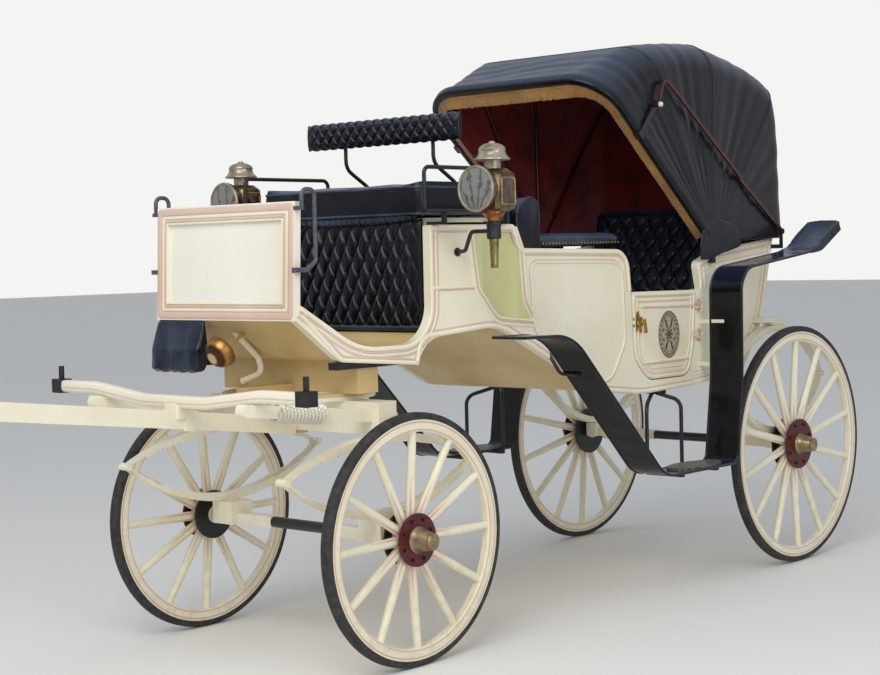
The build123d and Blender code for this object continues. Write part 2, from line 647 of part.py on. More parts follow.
def wheel(name, x, track, radius, spokes, flange_r, side_sign):
    """One dished wheel: felloe, spokes and nave in wood, rubber tyre, flanged hub."""
    rim_y = track / 2
    foot_y = rim_y - DISH
    rim_out = radius - TYRE_DEPTH
    rim_in = rim_out - FELLOE_DEPTH
    felloe = drum(x, radius, rim_y - FELLOE_W / 2, rim_y + FELLOE_W / 2, rim_out)
    felloe -= drum(x, radius, rim_y - FELLOE_W / 2, rim_y + FELLOE_W / 2, rim_in)
    felloe = chamfer(felloe.edges().filter_by(GeomType.CIRCLE).sort_by(SortBy.RADIUS)[:2], 7)
    nave = drum(x, radius, foot_y - HUB_HALF, foot_y + HUB_HALF, NAVE_R)
    wood = felloe + nave
    for turn in range(spokes):
        length = math.hypot(rim_in + 4 - NAVE_R + 6, DISH)
        spoke = Pos(0, 0, length / 2) * Cone(SPOKE_FOOT_R, SPOKE_TIP_R, length)
        lean = math.degrees(math.atan2(DISH, rim_in + 10 - NAVE_R))
        spoke = Pos(0, foot_y, NAVE_R - 6) * Rot(-lean, 0, 0) * spoke
        wood += Pos(x, 0, radius) * Rot(0, turn * 360 / spokes, 0) * spoke
    bore_r = AXLE_R + AXLE_RUN
    bore = drum(x, radius, foot_y - 200, foot_y + HUB_HALF + 20 + FIT, bore_r)
    wood -= drum(x, radius, foot_y - 200, foot_y + 200, bore_r + 14)
    tyre = drum(x, radius, rim_y - TYRE_W / 2, rim_y + TYRE_W / 2, radius)
    tyre = fillet(tyre.edges().filter_by(GeomType.CIRCLE), 13)
    tyre -= drum(x, radius, rim_y - TYRE_W, rim_y + TYRE_W, rim_out)
    hub = drum(x, radius, foot_y + HUB_HALF, foot_y + HUB_HALF + FLANGE_T, flange_r)
    hub += drum(x, radius, foot_y - HUB_HALF - FLANGE_T, foot_y - HUB_HALF, flange_r)
    hub += drum(x, radius, foot_y - HUB_HALF - FLANGE_T, foot_y + HUB_HALF + FLANGE_T, bore_r + 14)
    cap_y = foot_y + HUB_HALF + FLANGE_T
    hub += drum(x, radius, cap_y, cap_y + CAP_L, CAP_R[0], CAP_R[1])
    hub -= bore
    pieces = {"wood": wood, "tyre": tyre, "hub": hub}
    for piece, shape in pieces.items():
        keep("wheel_" + name + "_" + piece, shape if side_sign > 0 else mirrored(shape))


WHEELS = [
    ("front_left", WHEELBASE, FRONT_TRACK, FRONT_WHEEL_R, FRONT_SPOKES, FRONT_FLANGE_R, 1),
    ("front_right", WHEELBASE, FRONT_TRACK, FRONT_WHEEL_R, FRONT_SPOKES, FRONT_FLANGE_R, -1),
    ("rear_left", 0, REAR_TRACK, REAR_WHEEL_R, REAR_SPOKES, REAR_FLANGE_R, 1),
    ("rear_right", 0, REAR_TRACK, REAR_WHEEL_R, REAR_SPOKES, REAR_FLANGE_R, -1),
]
for row in WHEELS:
    wheel(*row)

# Folding hood: four hoops on one pivot line, with leather between them.
# Columns: name, angle above the horizontal, reach to the top bar, bend at its corners,
# layer of its arm at the pivot.
BOWS = [
    ("front", 40.3, 1108, 190, 0),
    ("second", 60, 1000, 130, 1),
    ("third", 89.5, 910, 130, 2),
    ("rear", 127.5, 955, 130, 3),
]
BOW_R = 9
BOW_HALF = 512
BOW_FOOT = 205
ARM_T = 4
LEATHER_SEAT = 13
LEATHER_FOOT = 62
CURTAIN_FOOT = (178.5, 690, 130)


def bow_plane(angle):
    """Moves a shape drawn with x away from the pivot line and y across to its hoop's angle."""
    return Pos(HOOD_PIVOT[0], 0, HOOD_PIVOT[1]) * Rot(0, -angle, 0)


def hoop(angle, reach, bend, layer):
    """One hoop: a round bar bent to a U, on two flat arms with eyes on the pivot."""
    corners = [(BOW_FOOT, -BOW_HALF, 0), (reach, -BOW_HALF, 0), (reach, BOW_HALF, 0),
               (BOW_FOOT, BOW_HALF, 0)]
    bar = rod(corners, BOW_R, [bend, bend])
    arm_y = BOW_HALF + BOW_R - ARM_T / 2 - layer * (ARM_T + 1)
    for sign in (-1, 1):
        arm = Pos(BOW_FOOT / 2 + 15, sign * arm_y, 0) * Box(BOW_FOOT + 30, ARM_T, 16)
        arm += Pos(0, sign * arm_y, 0) * Rot(90, 0, 0) * Cylinder(18, ARM_T)
        arm -= Pos(0, sign * arm_y, 0) * Rot(90, 0, 0) * Cylinder(PIVOT_R + AXLE_RUN, ARM_T * 3)
        bar += arm
    return bow_plane(angle) * bar


PIVOT_R = 7
hoops = {}
for name, angle, reach, bend, layer in BOWS:
    hoops[name] = hoop(angle, reach, bend, layer)
# The bracket on the front hoop that carries the head of the joint iron.
head_dx = IRON_HEAD[0] - HOOD_PIVOT[0]
head_dz = IRON_HEAD[1] - HOOD_PIVOT[1]
front_turn = math.radians(BOWS[0][1])
head_along = head_dx * math.cos(front_turn) + head_dz * math.sin(front_turn)
head_up = head_dz * math.cos(front_turn) - head_dx * math.sin(front_turn)
LEATHER_IN = BOW_HALF + LEATHER_SEAT
LEATHER_OUT = LEATHER_IN + LEATHER_T
for sign in (-1, 1):
    low, high = sorted((sign * (BOW_HALF - 4), sign * (LEATHER_OUT + 9)))
    foot = block((head_along - 20, head_along + 20), (low, high), (-24, -2))
    low, high = sorted((sign * (LEATHER_OUT + 1), sign * (LEATHER_OUT + 9)))
    foot += block((head_along - 14, head_along + 14), (low, high), (-24, head_up + 12))
    hoops["front"] += bow_plane(BOWS[0][1]) * foot
for name, shape in hoops.items():
    keep("hood_bow_" + name, shape)


def leather_band(angle, reach, bend):
    """The leather's section in one hoop's plane: a thin band over the hoop."""
    middle = LEATHER_SEAT + LEATHER_T / 2
    line = FilletPolyline((LEATHER_FOOT, -BOW_HALF - middle), (reach + middle, -BOW_HALF - middle),
                          (reach + middle, BOW_HALF + middle), (LEATHER_FOOT, BOW_HALF + middle),
                          radius=bend + middle)
    return bow_plane(angle) * trace(line, line_width=LEATHER_T).face()


BANDS = [leather_band(angle, reach, bend) for name, angle, reach, bend, layer in BOWS]
BANDS.append(leather_band(*CURTAIN_FOOT))
for row, name in enumerate(("front", "middle", "rear", "curtain")):
    keep("hood_leather_" + name, loft([BANDS[row], BANDS[row + 1]], ruled=True))

# Pivot plates on the body's sides
pivot_top = BOW_HALF + BOW_R + 0.5
pivot_x = (HOOD_PIVOT[0] - 14, HOOD_PIVOT[0] + 14)
plate = block(pivot_x, (pivot_top, pivot_top + 5), (1468, HOOD_PIVOT[1] + 4))
plate += drum(*HOOD_PIVOT, pivot_top, pivot_top + 5, 18)
plate += block(pivot_x, (BODY_HALF, pivot_top + 5), (1460, 1480))
plate += drum(*HOOD_PIVOT, BOW_HALF - 14, pivot_top + 5, PIVOT_R)
BODY_IRONS.append(plate)

# Joint irons: flat bars, the lower half on the body and the upper half outside it, to the
# front hoop. The post, the lower half and the upper half lie in three layers.
POST_Y = (LEATHER_OUT + 1, LEATHER_OUT + 5)
LOWER_Y = (POST_Y[1] + FIT, POST_Y[1] + FIT + IRON_T)
UPPER_Y = (LOWER_Y[1] + 1, LOWER_Y[1] + 1 + IRON_T)
EYE_R = 14
PIN_R = 5


def eye_hole(centre):
    """The running hole for an iron's pin."""
    return drum(*centre, POST_Y[0] - 20, UPPER_Y[1] + 20, PIN_R + AXLE_RUN)


lower = across(trace(Line(IRON_FOOT, IRON_KNUCKLE), line_width=IRON_W), *LOWER_Y)
lower += drum(*IRON_KNUCKLE, *LOWER_Y, EYE_R) + drum(*IRON_FOOT, *LOWER_Y, EYE_R)
lower -= eye_hole(IRON_FOOT)
lower += drum(*IRON_KNUCKLE, LOWER_Y[0], UPPER_Y[1] + 1.5, PIN_R)
keep("joint_irons_lower", lower, mirrored(lower))
# Side view of the upper half, hooked over at its head. Columns: x, z, bend radius.
UPPER_LINE = [IRON_KNUCKLE + (0,), (817, 2226, 200), (925, 2296, 34), IRON_HEAD + (0,)]
upper = across(strip(UPPER_LINE, IRON_W), *UPPER_Y)
upper += drum(*IRON_KNUCKLE, *UPPER_Y, EYE_R)
upper -= eye_hole(IRON_KNUCKLE)
upper += drum(*IRON_HEAD, LEATHER_OUT + 9.5, UPPER_Y[1], 12)
upper += Pos(IRON_HEAD[0], UPPER_Y[1] + 7, IRON_HEAD[1]) * Sphere(12)
keep("joint_irons_upper", upper, mirrored(upper))
iron_post = block((-104, -76), POST_Y, (1530, IRON_FOOT[1] + 12))
iron_post += block((-104, -40), (BODY_HALF, POST_Y[1]), (1520, 1540))
iron_post += drum(*IRON_FOOT, POST_Y[0], LOWER_Y[1] - 0.3, PIN_R)
BODY_IRONS.append(iron_post)
keep("body_irons", *[turn(iron - side) for iron in BODY_IRONS for turn in BOTH_SIDES])

for name, shape in NODES.items():
    export_step(PLACE * shape, "parts/" + name + ".step")
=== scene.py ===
import math

import bmesh
import bpy
import numpy as np
from mathutils import Matrix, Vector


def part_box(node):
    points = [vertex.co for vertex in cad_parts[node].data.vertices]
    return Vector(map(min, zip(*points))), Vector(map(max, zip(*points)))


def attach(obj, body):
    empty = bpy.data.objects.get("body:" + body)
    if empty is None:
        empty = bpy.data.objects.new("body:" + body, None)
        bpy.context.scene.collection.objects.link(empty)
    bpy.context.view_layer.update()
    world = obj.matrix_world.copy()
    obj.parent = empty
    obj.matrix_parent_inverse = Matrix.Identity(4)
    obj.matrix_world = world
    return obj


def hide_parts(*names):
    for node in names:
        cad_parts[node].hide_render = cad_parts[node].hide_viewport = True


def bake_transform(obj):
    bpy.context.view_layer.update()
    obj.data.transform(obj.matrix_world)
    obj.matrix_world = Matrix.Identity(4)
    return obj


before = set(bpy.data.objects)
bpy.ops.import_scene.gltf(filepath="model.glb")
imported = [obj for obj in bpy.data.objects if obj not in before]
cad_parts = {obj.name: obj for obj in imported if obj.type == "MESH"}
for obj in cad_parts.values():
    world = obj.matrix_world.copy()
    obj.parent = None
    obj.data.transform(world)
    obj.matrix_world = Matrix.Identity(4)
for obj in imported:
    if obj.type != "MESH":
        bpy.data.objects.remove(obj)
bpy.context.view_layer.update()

# Wheels: ash spokes and felloes morticed into a nave, painted cream, with two thin pink
# lines round the felloe and two down each spoke's root. Metres; x is counted forward from
# the rear axle, y to the carriage's left and z up from the ground.
wheel_boxes = {}
for wheel in ("front_left", "front_right", "rear_left", "rear_right"):
    wheel_boxes[wheel] = np.array(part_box("wheel_" + wheel + "_tyre"))
AXLE_X = sum(wheel_boxes["rear_left"])[0] / 2
CREAM = "#F0E9D2"
CREAM_DEEP = "#E4DABB"
GRIME = "#B3A484"
LINE_PINK = "#D2A999"
# Columns: inset from the tyre, half width.
FELLOE_LINES = ((0.036, 0.0028), (0.064, 0.0022))
SPOKE_LINE_OUT = 0.012
SPOKE_LINE_BREADTH = 0.0060
SPOKE_LINE_REACH = (0.25, 0.14)
DUST_Z = (1.15, 0.10)
DUST_SHARE = 0.55


def linear(colour):
    """An sRGB hex colour as linear red, green, blue and alpha."""
    parts = [int(colour[i:i + 2], 16) / 255 for i in (1, 3, 5)]
    return [p / 12.92 if p <= 0.04045 else ((p + 0.055) / 1.055) ** 2.4 for p in parts] + [1.0]


def fill(tree, node, inputs):
    """Sets a node's inputs to values or hex colours, or links them to other outputs."""
    for key, value in inputs.items():
        if isinstance(value, bpy.types.NodeSocket):
            tree.links.new(value, node.inputs[key])
        else:
            node.inputs[key].default_value = linear(value) if isinstance(value, str) else value


class Finish:
    """The nodes of a material or of the world, with the object's coordinates as place."""

    def __init__(self, owner):
        self.owner = owner
        owner.use_nodes = True
        self.tree = owner.node_tree
        self.place = self.add("TexCoord", out="Object")

    def add(self, kind, *values, out=0, stops=(), **named):
        """Adds a node and gives one of its outputs. Values go to its inputs in order, and
        named ones to the input or the setting of that name. A colour ramp's stops are pairs
        of position and grey level or hex colour."""
        made = self.tree.nodes.new("ShaderNode" + kind)
        inputs = dict(enumerate(values))
        for key, value in named.items():
            if key in made.inputs:
                inputs[key] = value
            else:
                setattr(made, key, value)
        fill(self.tree, made, inputs)
        if stops:
            elements = made.color_ramp.elements
            while len(elements) < len(stops):
                elements.new(0.5)
            for element, (position, value) in zip(elements, stops):
                element.position = position
                element.color = linear(value) if isinstance(value, str) else (value, value, value, 1)
        return made.outputs[out]

    def done(self, colour, roughness, normal=None, more=None):
        """Hands the colour, roughness, bumps and more to the shader, and gives the material."""
        inputs = {"Base Color": colour, "Roughness": roughness, **(more or {})}
        if normal:
            inputs["Normal"] = normal
        fill(self.tree, self.tree.nodes["Principled BSDF"], inputs)
        return self.owner


def coach_enamel(name, light, deep, roughness=0.3, line=None, line_colour=LINE_PINK):
    """Brushed and varnished coach enamel. Two tints drift over half a metre, dust gathers
    low down, and fine orange peel breaks the gloss. line gives a mask that is 1 where
    another colour is laid."""
    paint = Finish(bpy.data.materials.new(name))
    clouds = paint.add("TexNoise", Vector=paint.place, Scale=2.2, Detail=4)
    tint = paint.add("MixRGB", paint.add("ValToRGB", clouds, stops=[(0.38, 0.0), (0.70, 1.0)]), light, deep)
    z = paint.add("SeparateXYZ", paint.place, out="Z")
    low_down = paint.add("MapRange", z, *DUST_Z, 0.0, DUST_SHARE)
    specks = paint.add("TexNoise", Vector=paint.place, Scale=26, Detail=8, Roughness=0.7)
    dust = paint.add("Math", low_down, paint.add("ValToRGB", specks, stops=[(0.44, 0.0), (0.78, 1.0)]),
                     operation="MULTIPLY")
    colour = paint.add("MixRGB", dust, tint, GRIME)
    if line:
        colour = paint.add("MixRGB", line(paint), colour, line_colour)
    rough = paint.add("MapRange", specks, 0.3, 0.8, roughness - 0.06, roughness + 0.14)
    clouds = paint.add("TexNoise", Vector=paint.place, Scale=130, Detail=2)
    peel = paint.add("Bump", Height=clouds, Strength=0.10, Distance=0.002)
    return paint.done(colour, rough, peel, {"Coat Weight": 0.25, "Coat Roughness": 0.12})


def wheel_lines(centre, radius, spokes):
    """A mask for one wheel: rings on the felloe, and two lines down each spoke's root. With
    r the distance from the axle, a ring is where r is near its own radius, and the spoke
    lines are where r times the angle to the nearest spoke is near SPOKE_LINE_OUT. Both
    sides of that are scaled by the spokes in a radian."""
    spokes_per_radian = spokes / (2 * math.pi)

    def mask(paint):
        moved = paint.add("VectorMath", paint.place, (centre[0], 0, centre[2]), operation="SUBTRACT")
        x, z = paint.add("SeparateXYZ", moved, out="X"), paint.add("SeparateXYZ", moved, out="Z")
        r = paint.add("VectorMath", paint.add("CombineXYZ", X=x, Z=z), out="Value", operation="LENGTH")
        rings = [paint.add("Math", r, radius - inset, half, operation="COMPARE")
                 for inset, half in FELLOE_LINES]
        turns = paint.add("Math", paint.add("Math", x, z, operation="ARCTAN2"), spokes_per_radian,
                          operation="MULTIPLY")
        aside = paint.add("Math", paint.add("Math", turns, 0.5, operation="PINGPONG"), r,
                          operation="MULTIPLY")
        line = paint.add("Math", aside, SPOKE_LINE_OUT * spokes_per_radian, SPOKE_LINE_BREADTH,
                         operation="COMPARE")
        spoke = paint.add("Math", line, paint.add("MapRange", r, *SPOKE_LINE_REACH, 0.0, 1.0),
                          operation="MULTIPLY")
        return paint.add("Math", paint.add("Math", *rings, operation="MAXIMUM"), spoke, operation="MAXIMUM")
    return mask


def finish_node(name, material):
    """Gives a carried-over CAD piece its material."""
    piece_of_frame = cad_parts[name]
    piece_of_frame.data.materials.clear()
    piece_of_frame.data.materials.append(material)


for wheel, (low, high) in wheel_boxes.items():
    lines = wheel_lines((low + high) / 2, (high[2] - low[2]) / 2, 12 if wheel.startswith("front") else 14)
    finish_node("wheel_" + wheel + "_wood",
                coach_enamel("wheel_enamel_" + wheel, CREAM, CREAM_DEEP, 0.34, lines))

# Tyres: solid rubber bars let into a channel on each felloe, black, dusty where they roll.


def rubber():
    """Moulded rubber: near black, with pale road dust over the tread."""
    paint = Finish(bpy.data.materials.new("solid_rubber"))
    dust = paint.add("TexNoise", Vector=paint.place, Scale=38, Detail=7, Roughness=0.65)
    colour = paint.add("ValToRGB", dust, stops=[(0.35, "#15161A"), (0.80, "#4A4843")])
    rough = paint.add("MapRange", dust, 0, 1, 0.55, 0.95)
    normal = paint.add("Bump", Height=dust, Strength=0.25, Distance=0.001)
    return paint.done(colour, rough, normal)


RUBBER = rubber()
for wheel in wheel_boxes:
    finish_node("wheel_" + wheel + "_tyre", RUBBER)

# Hubs: cast flanges bolted through the nave, dark red outside and black inside, with a
# turned brass cap over the axle nut and a ring of nuts.
CAP_L = 0.080
FLANGE_T = 0.030
NUTS = 8
NUT_INSET = 0.022
NUT_R = 0.0075
# Columns: distance outward from the flange's face, radius.
NUT_PROFILE = [(0, 0), (0, NUT_R), (0.006, NUT_R), (0.006, 0.005), (0.010, 0.005), (0.011, 0)]
CAP_PROFILE = [(-0.002, 0.0), (-0.002, 0.051), (0.004, 0.0515), (0.007, 0.049), (0.010, 0.0455),
               (0.030, 0.0415), (0.052, 0.0355), (0.068, 0.0305), (0.071, 0.0325), (0.077, 0.0325),
               (0.080, 0.029), (0.0825, 0.014), (0.083, 0.0)]


def hub_finish(name, flange_y, outward):
    """Dark red enamel on the outer flange, black inside it, and worn brass beyond it.
    The place across the carriage, y, says which."""
    paint = Finish(bpy.data.materials.new(name))
    out = paint.add("Math", paint.add("SeparateXYZ", paint.place, out="Y"), outward, operation="MULTIPLY")
    cap = paint.add("Math", out, flange_y + 0.002, operation="GREATER_THAN")
    mottle = paint.add("TexNoise", Vector=paint.place, Scale=60, Detail=6)
    red = paint.add("ValToRGB", mottle, stops=[(0.30, "#5C0D12"), (0.75, "#330709")])
    painted = paint.add("MixRGB", paint.add("Math", out, flange_y - FLANGE_T, operation="LESS_THAN"), red,
                        "#121214")
    colour = paint.add("MixRGB", cap, painted, paint.add("ValToRGB", mottle,
                                                         stops=[(0.30, "#A98B66"), (0.75, "#6E5840")]))
    rough = paint.add("MapRange", mottle, 0, 1, 0.28, 0.55)
    return paint.done(colour, rough, more={"Metallic": paint.add("Math", cap, 0.85, operation="MULTIPLY")})


def patch(points, wrap_rows=False, wrap_columns=False):
    """Vertices and quads of a grid of points, rows by columns, joined round if asked."""
    rows, columns = points.shape[:2]
    index = np.arange(rows * columns).reshape(rows, columns)
    if wrap_rows:
        index = np.vstack([index, index[:1]])
    if wrap_columns:
        index = np.hstack([index, index[:, :1]])
    quads = np.stack([index[:-1, :-1], index[1:, :-1], index[1:, 1:], index[:-1, 1:]], axis=-1)
    return points.reshape(-1, 3), quads.reshape(-1, 4)


def mirrored(patches):
    """The same patches on both sides of the carriage."""
    return list(patches) + [(points * (1, -1, 1), quads[:, ::-1]) for points, quads in patches]


def tube(rings):
    """A closed form through rings of points, drawn together at both ends."""
    rings = np.asarray(rings)
    middles = np.repeat(rings[[0, -1]].mean(1, keepdims=True), rings.shape[1], 1)
    return patch(np.concatenate([middles[:1], rings, middles[1:]]), wrap_columns=True)


def piece(name, body, material, patches, sharp=40, ride=True):
    """Joins patches, given from the rear axle's place, into one closed mesh that rides on a
    body."""
    starts = np.cumsum([0] + [len(points) for points, quads in patches])
    vertices = np.concatenate([points for points, quads in patches]) + (AXLE_X, 0, 0)
    faces = np.concatenate([quads + start for (points, quads), start in zip(patches, starts)])
    mesh = bpy.data.meshes.new(name)
    mesh.from_pydata(vertices.tolist(), [], faces.tolist())
    shell = bmesh.new()
    shell.from_mesh(mesh)
    bmesh.ops.remove_doubles(shell, verts=shell.verts, dist=2e-6)
    bmesh.ops.dissolve_degenerate(shell, edges=shell.edges, dist=1e-7)
    bmesh.ops.recalc_face_normals(shell, faces=shell.faces)
    shell.to_mesh(mesh)
    shell.free()
    mesh.polygons.foreach_set("use_smooth", np.ones(len(mesh.polygons), bool))
    mesh.set_sharp_from_angle(angle=math.radians(sharp))
    mesh.materials.append(material)
    made = bpy.data.objects.new(name, mesh)
    bpy.context.scene.collection.objects.link(made)
    if ride:
        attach(made, body)
    return made


def unit(vectors):
    """Vectors at length one."""
    return vectors / np.linalg.norm(vectors, axis=-1, keepdims=True)


def sweep(path, section, side, closed=False):
    """A section of (sideways, upward) pairs carried along a path. At each point of the path
    the section stands across it: sideways along side, and upward along side crossed with
    the path's direction. Open ends are drawn together, which closes the form."""
    path = np.asarray(path, float)
    if closed:
        direction = unit(np.roll(path, -1, axis=0) - np.roll(path, 1, axis=0))
    else:
        direction = unit(np.gradient(path, axis=0))
    side = np.broadcast_to(np.asarray(side, float), path.shape)
    up = unit(np.cross(side, direction))
    side = unit(np.cross(direction, up))
    section = np.asarray(section, float)
    rings = path[:, None] + section[:, 0, None] * side[:, None] + section[:, 1, None] * up[:, None]
    return patch(rings, wrap_rows=True, wrap_columns=True) if closed else tube(rings)


def circle(radius, count=12, start=0.0, stop=2 * math.pi):
    """Points round a circle or an arc of it, without the last one."""
    angle = np.linspace(start, stop, count, endpoint=False)
    return np.stack([np.cos(angle), np.sin(angle)], -1) * radius


def turned(profile, centre, axis, count=32):
    """A lathe shape: (along, radius) pairs spun round an axis through centre."""
    axis = unit(np.asarray(axis, float))
    first = unit(np.cross(axis, (0.3, 0.2, 0.9)))
    second = np.cross(axis, first)
    ring = circle(1.0, count)
    profile = np.asarray(profile, float)
    round_part = ring[:, 0, None] * first + ring[:, 1, None] * second
    points = np.asarray(centre) + profile[:, 0, None, None] * axis + profile[:, 1, None, None] * round_part
    return patch(points, wrap_columns=True)


def brass(name, bright, dull, metallic=1.0):
    """Polished brass with brown tarnish in soft patches."""
    paint = Finish(bpy.data.materials.new(name))
    tarnish = paint.add("TexNoise", Vector=paint.place, Scale=32, Detail=6)
    colour = paint.add("ValToRGB", tarnish, stops=[(0.35, bright), (0.75, dull)])
    rough = paint.add("MapRange", tarnish, 0, 1, 0.16, 0.5)
    return paint.done(colour, rough, more={"Metallic": metallic})


def red_enamel(name, beyond=None, colour_beyond="#101013"):
    """Dark red enamel on iron, chipped to brown-black in places. Further across the
    carriage than beyond, it has another colour."""
    paint = Finish(bpy.data.materials.new(name))
    chips = paint.add("TexNoise", Vector=paint.place, Scale=40, Detail=7)
    colour = paint.add("ValToRGB", chips, stops=[(0.40, "#4E0B0F"), (0.66, "#28090B")])
    if beyond:
        y = paint.add("SeparateXYZ", paint.place, out="Y")
        past = paint.add("Math", paint.add("Math", y, operation="ABSOLUTE"), beyond,
                         operation="GREATER_THAN")
        colour = paint.add("MixRGB", past, colour, colour_beyond)
    return paint.done(colour, paint.add("MapRange", chips, 0, 1, 0.26, 0.5), more={"Coat Weight": 0.3})


RED_ENAMEL = red_enamel("red_enamel")
CAP_BRASS = brass("hub_cap_brass", "#A59070", "#6B5A45", 0.6)
for wheel, (low, high) in wheel_boxes.items():
    outward = 1 if wheel.endswith("left") else -1
    hub_low, hub_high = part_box("wheel_" + wheel + "_hub")
    flange_y = max(abs(hub_low[1]), abs(hub_high[1])) - CAP_L
    finish_node("wheel_" + wheel + "_hub", hub_finish("hub_enamel_" + wheel, flange_y, outward))
    nut_ring = (hub_high[2] - hub_low[2]) / 2 - NUT_INSET
    centre = (low + high) / 2 - (AXLE_X, 0, 0)
    nuts = []
    for turn in (np.arange(NUTS) + 0.5) * (2 * math.pi / NUTS):
        place = (centre[0] + nut_ring * math.cos(turn), outward * flange_y,
                 centre[2] + nut_ring * math.sin(turn))
        nuts.append(turned(NUT_PROFILE, place, (0, outward, 0), 6))
    piece("hub_nuts_" + wheel, "wheel_" + wheel, RED_ENAMEL, nuts, sharp=30)
    cap = turned(CAP_PROFILE, (centre[0], outward * flange_y, centre[2]), (0, outward, 0), 48)
    piece("hub_cap_" + wheel, "wheel_" + wheel, CAP_BRASS, [cap])

# Undercarriage: ash beds, futchells, splinter bar and pole, and forged axles and springs,
# all painted cream like the wheels. The iron ends of the splinter bar are black, and so
# are the axles between their square beds. The body's irons turn cream at the wings' stays,
# and the seat's irons turn to worn steel forward of the seat.
AXLE_WAIST = 0.166
STAY_X = -1.85
STAY_Z = 1.10
STAY_REACH = 0.14
GRAB_IRON_X = 2.8
CREAM_ENAMEL = coach_enamel("cream_coach_enamel", CREAM, CREAM_DEEP)


def axle_middle(paint):
    """A mask that is 1 nearer the carriage's middle than the axles' square beds."""
    y = paint.add("SeparateXYZ", paint.place, out="Y")
    return paint.add("Math", paint.add("Math", y, operation="ABSOLUTE"), AXLE_WAIST, operation="LESS_THAN")


def iron_colour(paint):
    """Wear on stoved black enamel, and the black with its dust and rubbed corners."""
    wear = paint.add("TexNoise", Vector=paint.place, Scale=45, Detail=8, Roughness=0.7)
    return wear, paint.add("ValToRGB", wear, stops=[(0.45, "#0E0F12"), (0.85, "#3A3835")])


def black_enamel(name, rear_x=None):
    """Glossy black enamel over forged iron. Behind rear_x, at the height of the stays, it
    is painted cream like the body."""
    paint = Finish(bpy.data.materials.new(name))
    wear, colour = iron_colour(paint)
    if rear_x is not None:
        x = paint.add("SeparateXYZ", paint.place, out="X")
        behind = paint.add("Math", x, rear_x, operation="LESS_THAN")
        z = paint.add("SeparateXYZ", paint.place, out="Z")
        high = paint.add("Math", z, STAY_Z, STAY_REACH, operation="COMPARE")
        colour = paint.add("MixRGB", paint.add("Math", behind, high, operation="MULTIPLY"), colour,
                           "#DED7C2")
    rough = paint.add("MapRange", wear, 0, 1, 0.22, 0.6)
    normal = paint.add("Bump", Height=wear, Strength=0.15, Distance=0.001)
    return paint.done(colour, rough, normal)


def seat_iron():
    """Black enamel on the seat's rails and stays, worn to grey steel on the grab irons,
    which stand forward of the seat."""
    paint = Finish(bpy.data.materials.new("seat_iron_enamel"))
    wear, black = iron_colour(paint)
    x = paint.add("SeparateXYZ", paint.place, out="X")
    forward = paint.add("Math", x, AXLE_X + GRAB_IRON_X, operation="GREATER_THAN")
    colour = paint.add("MixRGB", forward, black, paint.add("ValToRGB", wear,
                                                           stops=[(0.35, "#585B62"), (0.75, "#303238")]))
    return paint.done(colour, paint.add("MapRange", wear, 0, 1, 0.22, 0.55))


AXLE_ENAMEL = coach_enamel("axle_enamel", CREAM, CREAM_DEEP, line=axle_middle, line_colour="#141518")
BLACK_ENAMEL = black_enamel("black_enamel")
for name in ("front_axle", "rear_axle"):
    finish_node(name, AXLE_ENAMEL)
for name in ("front_springs", "rear_springs", "rear_hangers", "lower_bed", "toe_board_stay"):
    finish_node(name, CREAM_ENAMEL)
for name in ("futchells", "pole"):
    finish_node(name, CREAM_ENAMEL)
finish_node("splinter_bar_ends", BLACK_ENAMEL)
finish_node("body_irons", black_enamel("body_iron_enamel", STAY_X))
finish_node("driver_seat_irons", seat_iron())


def rounded(table, step=0.012, closed=False):
    """A dense line through rows of x, z and corner radius. Each corner becomes an arc that
    meets both its legs, and the legs are filled with points about a step apart."""
    corners = np.array([row[:2] for row in table], float)
    radii = [row[2] for row in table]
    count = len(corners)
    legs = []
    for i in range(count):
        if not closed and i in (0, count - 1):
            legs.append(corners[i:i + 1])
            continue
        before, here, after = corners[i - 1], corners[i], corners[(i + 1) % count]
        to_before, to_after = unit(before - here), unit(after - here)
        half_angle = math.acos(float(np.clip(to_before @ to_after, -1, 1))) / 2
        reach = min(radii[i] / math.tan(half_angle), 0.49 * np.linalg.norm(before - here),
                    0.49 * np.linalg.norm(after - here))
        radius = reach * math.tan(half_angle)
        middle = here + unit(to_before + to_after) * radius / math.sin(half_angle)
        start, stop = here + to_before * reach - middle, here + to_after * reach - middle
        bend = math.pi - 2 * half_angle
        t = np.linspace(0, 1, max(3, int(bend / math.radians(7)) + 2))[:, None]
        if bend < 1e-3 or radius < 1e-5:
            legs.append(here[None])
        else:
            legs.append(middle + (np.sin((1 - t) * bend) * start + np.sin(t * bend) * stop) / math.sin(bend))
    line = np.concatenate(legs)
    if closed:
        line = np.concatenate([line, line[:1]])
    lengths = np.r_[0, np.cumsum(np.linalg.norm(np.diff(line, axis=0), axis=1))]
    even = np.linspace(0, lengths[-1], max(8, int(lengths[-1] / step)))
    even = np.unique(np.concatenate([even, lengths]))
    even = even[np.r_[True, np.diff(even) > step * 0.2]]
    made = np.stack([np.interp(even, lengths, line[:, 0]), np.interp(even, lengths, line[:, 1])], -1)
    return made[:-1] if closed else made


def squircle(half_a, half_b, power=4.0, count=32):
    """A rounded square's section: both coordinates of a circle raised to 2 / power."""
    ring = circle(1.0, count)
    return np.sign(ring) * np.abs(ring) ** (2 / power) * (half_a, half_b)


def flat_bead(width, rise, count=9):
    """A low rounded moulding's section: (outward, sideways) pairs."""
    arc = np.linspace(0, math.pi, count)
    top = np.stack([np.sin(arc) ** 0.6 * rise, np.cos(arc) * width / 2], -1)
    base = np.array([[-0.002, -width / 2], [-0.002, width / 2]])
    return np.concatenate([top, base])


def at_y(line, y):
    """A side view line of x and z, at one or more places across the carriage."""
    return np.stack([line[:, 0], np.broadcast_to(y, len(line)), line[:, 1]], -1)


